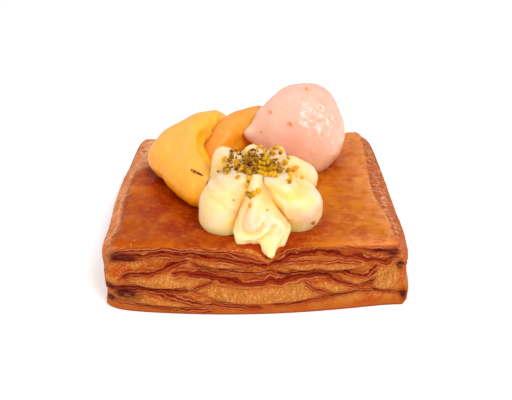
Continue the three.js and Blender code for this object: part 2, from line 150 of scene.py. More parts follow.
@dataclass(frozen=True)
class Ripples:
    """Smooth seeded noise made of plane waves.

    Attributes:
        seed: Which noise it is.
        wavelength: Mean length of the waves, in the unit of the points.
        waves: How many waves are summed.
        stretch: Factor on each coordinate before the waves are read.
    """

    seed: int
    wavelength: float
    waves: int = 18
    stretch: Tuple[float, float, float] = (1.0, 1.0, 1.0)

    def at(self, points: Array) -> Array:
        """Reads the noise.

        Args:
            points: Places, one row of two or three numbers each.

        Returns:
            Values mostly from -1 to 1.
        """
        rng = np.random.default_rng(self.seed)
        size = points.shape[-1]
        total = np.zeros(points.shape[:-1])
        scaled = points * np.array(self.stretch[:size])
        for _ in range(self.waves):
            direction = rng.normal(size=size)
            direction /= np.linalg.norm(direction)
            length = self.wavelength * rng.uniform(0.6, 1.7)
            total += np.sin(scaled @ direction * (2 * math.pi / length) + rng.uniform(0, 2 * math.pi))
        return total / math.sqrt(self.waves) / 1.2


def path_distance(points: Array, path: Array) -> Array:
    """Shortest distances from points to a path.

    Args:
        points: The points.
        path: Corners of the path.

    Returns:
        Distances.
    """
    best = np.full(points.shape[:-1], 1e3)
    for start, end in zip(path, path[1:]):
        step = end - start
        t = np.clip(((points - start) @ step) / max(float(step @ step), 1e-9), 0, 1)
        best = np.minimum(best, np.linalg.norm(points - start - t[..., None] * step, axis=-1))
    return best


# Meshes


def grid_faces(rings: int, count: int) -> List[Tuple[int, ...]]:
    """Faces of closed rings between two pole points, which come first and last.

    Args:
        rings: Number of rings.
        count: Points in each ring.

    Returns:
        Faces as tuples of point numbers.
    """
    k = np.arange(count)
    after = (k + 1) % count
    faces: List[Tuple[int, ...]] = [(0, 1 + b, 1 + a) for a, b in zip(k.tolist(), after.tolist())]
    for ring in range(rings - 1):
        low = 1 + ring * count
        high = low + count
        quads = np.stack([low + k, low + after, high + after, high + k], axis=1)
        faces.extend(map(tuple, quads.tolist()))
    top = 1 + (rings - 1) * count
    last = 1 + rings * count
    faces.extend((last, top + a, top + b) for a, b in zip(k.tolist(), after.tolist()))
    return faces


@dataclass
class Shell:
    """A closed skin of rings, ready to become a piece.

    Attributes:
        points: All points in millimetres, before centring.
        faces: Faces as tuples of point numbers.
        masks: Colour masks by name, three values for each point.
    """

    points: Array
    faces: List[Tuple[int, ...]]
    masks: Dict[str, Array] = field(default_factory=dict)

    @staticmethod
    def of_rings(first: Array, rings: Array, last: Array) -> "Shell":
        """Closes rings with a pole at each end."""
        points = np.vstack([first[None], rings.reshape(-1, 3), last[None]])
        return Shell(points, grid_faces(rings.shape[0], rings.shape[1]))

    def add_mask(self, name: str, channels: Iterable[Array]) -> None:
        """Adds a colour mask, where each pole takes its neighbour's value.

        Args:
            name: Name of the mask.
            channels: Up to three arrays of the rings' shape.
        """
        values = np.zeros((len(self.points) - 2, 3))
        for number, channel in enumerate(channels):
            values[:, number] = channel.ravel()
        self.masks[name] = np.vstack([values[:1], values, values[-1:]])

    def tree(self) -> BVHTree:
        """Search tree of the skin, in millimetres."""
        return BVHTree.FromPolygons(self.points.tolist(), self.faces)

    def normals(self) -> Array:
        """Point normals, from the area of the faces round each point.

        Returns:
            Unit normals.
        """
        total = np.zeros_like(self.points)
        for size in (3, 4):
            some = np.array([f for f in self.faces if len(f) == size])
            if not len(some):
                continue
            p = self.points[some]
            across = np.cross(p[:, size // 2] - p[:, 0], p[:, size - 1] - p[:, 1])
            for corner in range(size):
                np.add.at(total, some[:, corner], across)
        length = np.linalg.norm(total, axis=1, keepdims=True)
        return total / np.maximum(length, 1e-12)

    def push_clear(self, other: "Shell", clearance: float, reach: float = 8.0) -> None:
        """Moves points that lie in or too near another skin out to a clearance from it.

        Args:
            other: The skin to stay clear of.
            clearance: Distance to keep.
            reach: How deep a point may lie and still be moved.
        """
        tree = other.tree()
        low = other.points.min(0) - clearance
        high = other.points.max(0) + clearance
        near = np.all((self.points > low) & (self.points < high), axis=1)
        for index in np.nonzero(near)[0]:
            place = Vector(self.points[index])
            spot, normal, _, _ = tree.find_nearest(place, reach)
            if spot is None:
                continue
            height = (place - spot).dot(normal)
            if height < clearance:
                self.points[index] = spot + normal * clearance

    def to_piece(self, name: str) -> bpy.types.Object:
        """Makes a Blender object of the shell.

        Args:
            name: Name of the piece.

        Returns:
            The object, at the origin.
        """
        mesh = bpy.data.meshes.new(name)
        mesh.from_pydata(((self.points + CENTRING) * MM).tolist(), [], self.faces)
        mesh.polygons.foreach_set("use_smooth", np.ones(len(mesh.polygons), dtype=bool))
        for mask, values in self.masks.items():
            layer = mesh.color_attributes.new(mask, "FLOAT_COLOR", "POINT")
            rgba = np.ones((len(values), 4), dtype=np.float32)
            rgba[:, :3] = values
            layer.data.foreach_set("color", rgba.ravel())
        mesh.update()
        piece = bpy.data.objects.new(name, mesh)
        bpy.context.scene.collection.objects.link(piece)
        return piece


# The dough block


@dataclass(frozen=True)
class Blister:
    """An air pocket that bulges the dough between two leaves.

    Attributes:
        along: Place round the block; the front runs from 0 to 100.
        height: Height above the table.
        half_length: Half its length along the side.
        half_height: Half its height.
        bulge: How far it stands out.
    """

    along: float
    height: float
    half_length: float
    half_height: float
    bulge: float


@dataclass(frozen=True)
class Seam:
    """A crowded line of leaves between two blisters.

    Attributes:
        path: Stations of place along the side and height.
        width: How wide the dark crease is.
        dark: How dark it is, from 0 to 1: burnt leaf edges with painted shade in the gaps between them.
        depth: How deep it is.
    """

    path: Tuple[Tuple[float, float], ...]
    width: float
    dark: float
    depth: float = 0.8

    def offset(self, along: Array, height: Array) -> Tuple[Array, Array]:
        """How far places on the side lie above the seam.

        Args:
            along: Places along the side.
            height: Heights above the table.

        Returns:
            Distances, below zero under the seam, and how much of the seam is there.
        """
        places, levels = np.array(self.path).T
        around = [np.interp(along + shift, places, levels) for shift in (-1.2, 0.0, 1.2)]
        slope = (around[2] - around[0]) / 2.4
        first, last = places[0], places[-1]
        there = ease(first - 1.5, first + 1.5, along) * ease(last + 1.5, last - 1.5, along)
        return (height - sum(around) / 3) / np.sqrt(1 + slope**2), there


# The way round the block is counted from its front left corner.
SIDE = 100.0
AROUND = 4 * SIDE

FRONT_BLISTERS = (
    Blister(42, 17.6, 14, 2.0, 0.9),
    Blister(72, 17.6, 16, 3.1, 1.5),
    Blister(19.5, 12.9, 12.5, 3.7, 1.7),
    Blister(31.5, 11.2, 5.5, 3, 1.2),
    Blister(53, 8.4, 21, 4.3, 1.5),
    Blister(83, 12.4, 6, 2.1, 1.1),
    Blister(76.5, 9.6, 9, 2.7, 1.4),
    Blister(92.5, 12, 5.5, 5.4, 1.2),
    Blister(23, 4.9, 14, 1.8, 0.7),
    Blister(20, 19.4, 8, 1.0, 0.4),
)

FRONT_SEAMS = (
    Seam(
        ((-49, 18.6), (-42, 19.0), (-36, 19.6), (-30, 20.2), (-17, 19.1), (-9, 18.4), (-1, 16.8),
         (4.3, 15.2)),
        0.5, 1.0,
    ),
    Seam(
        ((-47, 19.9), (-38, 20.9), (-30, 21.3), (-20, 20.7), (-9, 20.0), (-2, 18.7), (3, 17.0)),
        0.26, 0.8, 0.3,
    ),
    Seam(
        ((7, 19.6), (12, 21.9), (19, 23.0), (25, 23.2), (31, 21.9), (38, 21.6), (46, 20.6)),
        0.26, 0.8, 0.3,
    ),
    Seam(((8, 17.6), (18, 18.4), (27, 18.3), (34, 17.6)), 0.12, 0.4, 0.15),
    Seam(
        ((4.3, 15.2), (6.7, 17.0), (10.1, 19.4), (19, 21.0), (24, 20.9), (29, 19.6), (34, 19.5), (37, 18.2),
         (41.3, 17), (47, 18.3)),
        0.6, 1.0,
    ),
    Seam(((-44.3, 11.2), (-41.3, 13.7), (-34, 14.6), (-29.3, 16), (-22.3, 17.6)), 0.5, 0.95),
    Seam(((-21, 17.5), (-18, 16.4), (-14, 14.9), (-7.7, 14.3), (1, 13.6), (6.3, 13.6)), 0.3, 0.8),
    Seam(
        ((-27, 14.7), (-17.7, 14.2), (-14, 13), (-11, 12.2), (-6, 11.6), (0.7, 11.2), (4.7, 11.7),
         (11.7, 12.5), (15.7, 12.9), (19.7, 13.6), (25.3, 12.6)),
        0.7, 1.0,
    ),
    Seam(
        ((6, 13.7), (11.7, 13.5), (15.7, 14.5), (19.7, 15.2), (25.7, 14.1), (27.3, 14.9), (32, 13.5),
         (36.7, 12.9), (38.3, 14.4), (39.7, 16.5)),
        0.36, 0.95,
    ),
    Seam(
        ((24.7, 12.5), (27.7, 11.6), (30.3, 10.2), (34, 9.2), (36.7, 8.8), (38, 11.2), (38.7, 12.8)),
        0.34, 0.9,
    ),
    Seam(((-49.3, 8.4), (-43.3, 8.7), (-39, 9.1), (-34, 8.2), (-27.3, 8.2), (-22, 8.1)), 0.5, 0.9),
    Seam(((-22, 8.1), (-19, 10.4), (-13.7, 11.7)), 0.3, 0.8, 0.5),
    Seam(((-44, 7.4), (-37, 8.4), (-30.7, 7.2), (-20.7, 4.9), (-10, 3.8), (2, 2.2)), 0.36, 0.75, 0.6),
    Seam(((15.7, 11.2), (19, 9.2), (22.3, 8.3), (25.3, 7), (28.7, 7.1), (32.3, 7.7)), 0.3, 0.7, 0.5),
    Seam(((5.7, 3.6), (22, 5), (27, 6.1), (32.3, 7.4), (41.3, 6.6), (50.8, 4.6)), 0.32, 0.55, 0.6),
    Seam(((-46, 3.6), (-38, 3.1), (-28, 2.2), (-14, 1.6)), 0.28, 0.5, 0.4),
)

# Burnt spots: place from the front's middle, height, reach along and reach up.
BURNS = (
    (-46.2, 18.5, 3.6, 1.6),
    (-42.0, 18.0, 4.4, 0.8),
    (-42.5, 6.5, 4.2, 1.7),
    (-48.0, 8.6, 2.4, 1.5),
    (-48.0, 4.0, 2.0, 1.2),
    (45.3, 20.3, 3.0, 1.4),
    (41.0, 21.0, 4.0, 0.7),
    (49.8, 4.4, 1.4, 1.8),
    (48.0, 15.8, 1.6, 1.6),
)


def around_distance(a: Array, b: float) -> Array:
    """Shortest way round the block between two places."""
    d = np.abs(a - b) % AROUND
    return np.minimum(d, AROUND - d)


@dataclass(frozen=True)
class DoughBlock:
    """The laminated block: its sides, its sloping shoulders and its glazed sheet.

    Attributes:
        half_width: Half of its width.
        half_depth: Half of its depth.
        sheet: Height of the sheet.
        corner_inset: How far each corner is pulled in: front left, front right, back left, back right.
        flank_bow: How far the flanks bow out.
        belly: Centre, half length, reach and base of the front's belly.
        left_tuck: How far the left flank is tucked in low down.
        flare: How far the foot of the front corners stands out, left and right.
        cheek: How far the front left corner bulges half way up.
        skew: How far the top of the flanks leans to the left.
        waist: How much further in the sheet's right edge lies half way back.
        rim_drop: How far the sheet's rim curls down.
        crease: Depth of the creases between blisters.
        leaf_step: How far apart the leaves stand out beside a seam.
        columns: Points along the front, and along each other side.
        rows: Points up a side.
        rings: Rings from the rim to the middle of the sheet.
    """

    half_width: float = 50.0
    half_depth: float = 50.0
    sheet: float = 22.6
    corner_inset: Tuple[float, float, float, float] = (1.5, 0.9, 0.3, 1.4)
    flank_bow: float = 1.4
    belly: Tuple[float, float, float, float] = (-10.0, 60.0, 7.3, -1.5)
    left_tuck: float = 0.9
    flare: Tuple[float, float] = (1.2, 2.4)
    cheek: float = 1.1
    skew: float = 0.7
    waist: float = 2.8
    rim_drop: float = 0.5
    crease: float = 0.5
    leaf_step: float = 0.62
    columns: Tuple[int, int] = (300, 124)
    rows: int = 98
    rings: int = 36

    FLANK_OUT = (
        (0, -0.8), (0.06, 0), (0.5, 0.3), (0.72, 0.3), (0.84, -2.4), (0.9, -4.2), (0.95, -4.3), (1, -5.6),
    )
    FLANK_HEIGHT = ((0, 0), (0.06, 0.05), (0.72, 0.8), (0.84, 0.88), (0.9, 0.91), (0.95, 0.97), (1, 1))
    FACE_OUT = ((0, -0.8), (0.06, 0), (0.5, 0.2), (0.94, -0.6), (1, -1.8))

    def sheet_height(self, x: Array, y: Array) -> Array:
        """Height of the glazed sheet.

        Args:
            x: Places across.
            y: Places in depth.

        Returns:
            Heights.
        """
        shoulders = 0.5 * ease(22, 42, np.abs(x)) + 0.7 * bell((x - 26) / 15) * ease(-20, -48, y)
        sag = 0.5 * bell(x / 30) * bell(y / 32)
        waves = 0.35 * np.sin(x / 11 + 0.6) * np.cos(y / 13 - 0.4)
        low_corner = 1.6 * ease(-30, -44, x) * ease(8, 26, y)
        back_drop = 0.8 * ease(34, 46, y) * ease(44, 20, x)
        pinch = 4.6 * bell((x - 4.2) / 3.8) * ease(-40, -51, y)
        return self.sheet + shoulders - sag + waves - low_corner - back_drop - pinch

    def blisters(self) -> List[Blister]:
        """All blisters, those of the hidden sides laid out by a seeded rule.

        Returns:
            The blisters.
        """
        draw = SeededDraw(7)
        found = list(FRONT_BLISTERS)
        for side in range(1, 4):
            for row in range(3):
                for step in range(4):
                    stagger = 12 if row == 1 else 0
                    found.append(
                        Blister(
                            side * SIDE + 14 + stagger + step * 23 + (draw() - 0.5) * 9,
                            4.2 + row * 6 + (draw() - 0.5) * 2.4,
                            9 + draw() * 6,
                            1.8 + draw() * 1.5,
                            0.9 + draw() * 0.9,
                        )
                    )
        return found

    def hidden_seams(self) -> List[Seam]:
        """Seams of the three other sides, by a seeded rule.

        Returns:
            Seams whose places are counted round the block.
        """
        rng = np.random.default_rng(23)
        seams = []
        for side in range(1, 4):
            for level in range(6):
                phase, swing = rng.uniform(0, 6.28, 3), rng.uniform(0.5, 1.5, 2)
                start = side * SIDE + rng.uniform(-2, 30)
                end = side * SIDE + rng.uniform(70, 102)
                along = np.arange(start, end, 5.0)
                height = 2.5 + 3.1 * level + swing[0] * np.sin(along / 13 + phase[0])
                height = height + swing[1] * 0.6 * np.sin(along / 5.5 + phase[1])
                path = tuple(zip(along.tolist(), np.clip(height, 0.8, 20.5).tolist()))
                seams.append(Seam(path, rng.uniform(0.3, 0.7), rng.uniform(0.5, 1.0), 0.6))
        return seams

    def relief(self, along: Array, height: Array) -> Tuple[Array, Array]:
        """The broad relief that the solid has too.

        Args:
            along: Places round the block.
            height: Heights above the table.

        Returns:
            How far the skin stands out, and how far inside a blister each place is.
        """
        out = np.zeros(along.shape)
        inside = np.zeros(along.shape)
        for b in self.blisters():
            dx = around_distance(along, b.along) / b.half_length
            dz = (height - b.height) / b.half_height
            dome = np.clip(1 - dx * dx - dz * dz, 0, 1)
            out = np.maximum(out, b.bulge * dome**0.4)
            inside = np.maximum(inside, ease(0, 0.35, dome))
        middle = ease(0, 2, height) * ease(self.sheet, self.sheet - 3, height)
        flank = np.abs(around_distance(along, SIDE / 2) - SIDE)
        calm = 1 - 0.6 * ease(-4, 6, around_distance(along, SIDE / 2) - SIDE / 2)
        calm = calm * (1 - 0.5 * ease(56, 46, flank))
        return (out - self.crease * (1 - inside)) * middle * calm, inside

    def border(self) -> Dict[str, Array]:
        """Plan of the block's edge, one value for each column.

        Returns:
            Plan, outward direction, share of a flank and way round, by name.
        """
        front, other = self.columns
        ahead = np.linspace(-1, 1, front, endpoint=False)
        step = np.linspace(-1, 1, other, endpoint=False)
        full = np.ones(other)
        u = np.concatenate([ahead, full, -step, -full])
        v = np.concatenate([-np.ones(front), step, full, -step])
        share = 0.5 * (1 + step)
        along = SIDE * np.concatenate([0.5 * (1 + ahead), 1 + share, 2 + share, 3 + share])
        front_left, front_right, back_left, back_right = self.corner_inset
        near = np.where(u < 0, front_left, front_right)
        far = np.where(u < 0, back_left, back_right)
        pull = np.where(v < 0, near, far) * (np.abs(u) * np.abs(v)) ** 12
        nx, ny = signed_power(u, 9), signed_power(v, 9)
        size = np.hypot(nx, ny)
        return {
            "x": self.half_width * u - np.sign(u) * pull,
            "y": self.half_depth * v - np.sign(v) * pull,
            "nx": nx / size,
            "ny": ny / size,
            "flank": np.where(ny < 0, (nx / size) ** 2, 1.0),
            "along": along,
        }

    def side_out(self, edge: Dict[str, Array], climb: Array) -> Array:
        """How far the whole side stands out at a share of the climb.

        Args:
            edge: The block's edge.
            climb: Share of the climb, one column of values for each row.

        Returns:
            Distances out from the plan.
        """
        x, y, nx, ny, flank = (edge[name] for name in ("x", "y", "nx", "ny", "flank"))
        leftward = np.where(nx < 0, nx * nx, 0.0)
        front = np.where(ny < 0, ny * ny, 0.0)
        bow = self.flank_bow * nx * nx * (1 - (y / self.half_depth) ** 2) * ease(0, 0.3, climb)
        middle, half, reach, base = self.belly
        spread = np.clip(1 - ((x - middle) / half) ** 2, 0, 1)
        belly = front * (base + reach * spread) * ease(1.05, 0, climb)
        tuck = self.left_tuck * leftward * bell((climb - 0.28) / 0.2)
        left, right = self.flare
        flare = np.where(nx < 0, left, right) * np.abs(nx) * ease(-28, -47, y) * ease(0.55, 0.1, climb)
        high = ease(0.8, 0.92, climb)
        torn = 8 * ease(-40, -48, x) * ease(2, 30, y) * high
        waist = self.waist * ease(40, 48, x) * bell((y + 3) / 22) * high
        near = 2.0 * ease(-40, -48, x) * ease(-32, -47, y) * high
        profile = flank * station(self.FLANK_OUT, climb) + (1 - flank) * station(self.FACE_OUT, climb)
        cheek = self.cheek * leftward * ease(-26, -46, y) * bell((climb - 0.66) / 0.22)
        skew = -self.skew * nx * flank * ease(-34, -16, y) * ease(0.45, 0.7, climb)
        return profile + bow + belly + flare + cheek + skew - tuck + (near - torn - waist) * flank

    def fine_relief(self, along: Array, height: Array, inside: Array) -> Tuple[Array, Dict[str, Array]]:
        """The thin leaves and seams that only the looks have.

        Args:
            along: Places round the block.
            height: Heights above the table.
            inside: How far inside a blister each place is.

        Returns:
            Extra relief, and the masks of seams, bundles, blisters and leaves.
        """
        place = np.stack([along, height], axis=-1)
        wander = 0.2 * Ripples(5, 5.0).at(place) + 0.1 * Ripples(6, 1.7).at(place)
        x = np.where(along > 3 * SIDE, along - AROUND, along) - SIDE / 2
        crease = np.zeros(along.shape)
        relief = np.zeros(along.shape)
        bundle = np.zeros(along.shape)
        leaf = np.zeros(along.shape)
        seams = [(seam, x) for seam in FRONT_SEAMS] + [(seam, along) for seam in self.hidden_seams()]
        for seam, way in seams:
            off, there = seam.offset(way, height + wander)
            relief = np.minimum(relief, -seam.depth * there * bell(off / seam.width))
            pack = there * bell(off / (1.0 + seam.width))
            nearer = pack > bundle
            leaf = np.where(nearer, off, leaf)
            # The crease mask darkens each seam: burnt leaf edges, with painted shade in the gaps between the
            # leaves.
            crease = np.where(nearer, there * seam.dark * seam.width, crease)
            bundle = np.maximum(bundle, pack)
        step = np.cos(2 * math.pi * leaf / self.leaf_step)
        relief += 0.1 * step * bundle * (1 - bell(leaf / 0.4))
        relief += 0.05 * Ripples(14, 0.9).at(place) + 0.05 * Ripples(15, 2.2, stretch=(1, 0.35, 1)).at(place)
        lines = {
            "crease": crease,
            "bundle": bundle,
            "blister": inside * (1 - 0.6 * bundle),
            "leaf": np.clip(leaf / 8 + 0.5, 0, 1),
        }
        return relief, lines

    def shell(self) -> Shell:
        """Works out the whole block.

        Returns:
            The closed shell with its masks.
        """
        edge = self.border()
        x, y, nx, ny, flank = (edge[name] for name in ("x", "y", "nx", "ny", "flank"))
        climb = np.linspace(0, 1, self.rows)[:, None]
        place = np.stack([x, y], axis=-1)
        frayed = 0.45 * Ripples(31, 4.0).at(place) + 0.3 * Ripples(32, 1.6).at(place)
        fray = frayed * flank * ease(0.9, 1.0, climb)
        top = self.side_out(edge, np.ones((1, x.size)))[0]
        rim_x = x + nx * (top + fray[-1])
        rim_y = y + ny * (top + fray[-1])
        share = flank * station(self.FLANK_HEIGHT, climb) + (1 - flank) * climb
        height = (self.sheet_height(rim_x, rim_y) - self.rim_drop) * share
        along = np.broadcast_to(edge["along"], height.shape)
        broad, inside = self.relief(along, height)
        fine, lines = self.fine_relief(along, height, inside)
        calm = flank * ease(0.5, 0.7, climb) * ease(-46, -34, y)
        ends = ease(0, 0.04, climb) * ease(1, 0.97, climb) * (1 - 0.7 * calm)
        out = self.side_out(edge, np.broadcast_to(climb, height.shape)) + fray + (broad + fine) * ends
        sides = np.stack([x + nx * out, y + ny * out, height], axis=-1)

        inward = 1 - (np.arange(1, self.rings + 1) / (self.rings + 1))[:, None] ** 1.7
        plan_x = (x + nx * top) * inward + nx * fray[-1] * inward**30
        plan_y = (y + ny * top) * inward + ny * fray[-1] * inward**30
        spot = np.stack([plan_x, plan_y], axis=-1)
        depth = np.hypot(plan_x - rim_x, plan_y - rim_y)
        lift = self.sheet_height(plan_x, plan_y) - self.rim_drop * np.exp(-depth / 0.7)
        lift = lift + 0.16 * Ripples(41, 9.0).at(spot) + 0.03 * Ripples(42, 3.0, 40).at(spot)
        sheet = np.stack([plan_x, plan_y, lift], axis=-1)

        middle = np.array([0.0, 0.0, float(self.sheet_height(np.array(0.0), np.array(0.0)))])
        shell = Shell.of_rings(np.zeros(3), np.concatenate([sides, sheet]), middle)
        self.add_masks(shell, edge, lines, climb, height, depth, self.glaze_masks(plan_x, plan_y, depth))
        return shell

    def glaze_masks(self, x: Array, y: Array, depth: Array) -> Tuple[Array, Array]:
        """Where syrup and painted shade darken the sheet round the toppings, and where it is paler, partly as
        a painted highlight along the right rim.

        Args:
            x: Places across.
            y: Places in depth.
            depth: Distance from the rim.

        Returns:
            Syrup with painted shade, and paleness, from 0 to 1.
        """
        place = np.stack([x, y], axis=-1)
        wander = 1.4 * Ripples(36, 7.0).at(place)
        peach = np.array(FRONT_PEACH.centres[:5])[:, :2]
        # Painted shade with the syrup: the sheet darkens round the cream, the pink fruit and the front peach.
        by_cream = ease(27, 20, np.hypot(x - CREAM.centre[0], y - CREAM.centre[1]) + wander)
        by_pink = 0.7 * ease(22, 15.5, np.hypot(x - PINK.centre[0], y - PINK.centre[1]) + wander)
        by_peach = ease(17, 10.5, path_distance(place, peach) + wander)
        juice_and_shade = np.maximum(np.maximum(by_cream, by_pink), by_peach)
        # Painted highlight: paler along the right rim, where the rounded shoulder catches the light.
        edge = ease(9, 0, depth + 2 * wander) * ease(20, 36, x) * 0.75
        back = ease(4, 40, y + 3 * wander) * ease(14, 34, x) * 0.8
        corner = 0.5 * ease(7, 0, depth + wander) * ease(-30, -44, x) * ease(-10, 20, y)
        # Darker towards the front.
        before = ease(-20, -44, y + 2 * wander) * (0.25 + 0.15 * ease(12, -12, x))
        return np.maximum(juice_and_shade, before), np.maximum(np.maximum(edge, back), corner)

    def add_masks(
        self,
        shell: Shell,
        edge: Dict[str, Array],
        lines: Dict[str, Array],
        climb: Array,
        height: Array,
        depth: Array,
        glaze: Tuple[Array, Array],
    ) -> None:
        """Writes the colour masks of the sides and the sheet.

        Args:
            shell: The block's shell.
            edge: The block's edge.
            lines: Masks of the sides' seams, bundles, blisters and leaves.
            climb: Share of the climb of each row.
            height: Heights of the sides' points.
            depth: Distances of the sheet's points from the rim.
            glaze: Juice and paleness of the sheet.
        """
        flank = edge["flank"]
        place = np.stack([edge["x"], edge["y"]], axis=-1)
        sway = 0.012 * Ripples(33, 6.0).at(place)
        quiet = 1 - flank * ease(0.7, 0.78, climb)
        # Painted shadow: a dark line along the step under the sheet's edge on the flanks.
        groove = flank * bell((climb + sway - 0.925) / 0.02)
        outline = 0.7 * flank * bell((climb - 0.72) / 0.035) * ease(-20, 30, edge["y"])
        # The burnt mask holds the burns, that painted shadow line, and a dark line along the ledge's outer
        # edge on the back half.
        burnt = np.maximum(self.burns(edge, height), 0.6 * np.maximum(groove, outline))
        rim = flank * ease(0.955, 0.985, climb) + (1 - flank) * ease(0.965, 0.995, climb)
        shoulder = flank * ease(0.68, 0.76, climb) * ease(0.97, 0.93, climb)
        flaky = flank * bell((climb + sway - 0.85) / 0.024) * (0.7 + 0.4 * Ripples(34, 2.0).at(place))
        flaky = np.clip(flaky * np.where(edge["nx"] > 0, 0.45, 1.0), 0, 1)
        none, full = np.zeros(depth.shape), np.ones(depth.shape)
        by_rim = [np.tile(mask[:1], (self.rows, 1)) for mask in glaze]
        layers = {
            # This mask carries the seams, the bundles and the blisters; the seams and the bundles are partly
            # painted shade.
            "bake_and_shade": (
                (lines["crease"] * quiet, none),
                # On the sheet this channel is a painted shade just inside the flanks' rim, which the glaze
                # then covers.
                (lines["bundle"] * quiet, 0.5 * np.exp(-depth / 0.8) * flank),
                (lines["blister"] * quiet, none),
            ),
            "zone": ((burnt, none), (rim, full), (shoulder, none)),
            "leaf": ((lines["leaf"], none), (np.clip(height / 30, 0, 1), none), (flaky, none)),
            "glaze": tuple(zip(by_rim, glaze)),
        }
        for name, channels in layers.items():
            shell.add_mask(name, [np.concatenate(channel) for channel in channels])
            shell.masks[name][0] = 0.0

    def burns(self, edge: Dict[str, Array], height: Array) -> Array:
        """Burnt spots of the front.

        Args:
            edge: The block's edge.
            height: Heights of the sides' points.

        Returns:
            How burnt each point is, from 0 to 1.
        """
        along = edge["along"]
        x = np.where(along > 3 * SIDE, along - AROUND, along) - SIDE / 2
        burnt = np.zeros(height.shape)
        for spot_x, spot_z, reach_x, reach_z in BURNS:
            spot = bell((x - spot_x) / reach_x) * bell((height - spot_z) / reach_z)
            burnt = np.maximum(burnt, np.clip(1.5 * spot, 0, 1))
        return burnt


DOUGH = DoughBlock()


def rest_on_sheet(points: Array) -> Array:
    """Points with those that lie below the sheet pressed flat against it."""
    level = DOUGH.sheet_height(points[..., 0], points[..., 1]) + GAP
    return np.concatenate([points[..., :2], np.maximum(points[..., 2:], level[..., None])], axis=-1)


# Peach segments


@dataclass(frozen=True)
class Stroke:
    """A ridge or a groove drawn along a skin.

    Attributes:
        path: Places on the skin, in its own two coordinates.
        width: How wide it is.
        height: How high it stands; a groove is below zero.
    """

    path: Tuple[Tuple[float, float], ...]
    width: float
    height: float


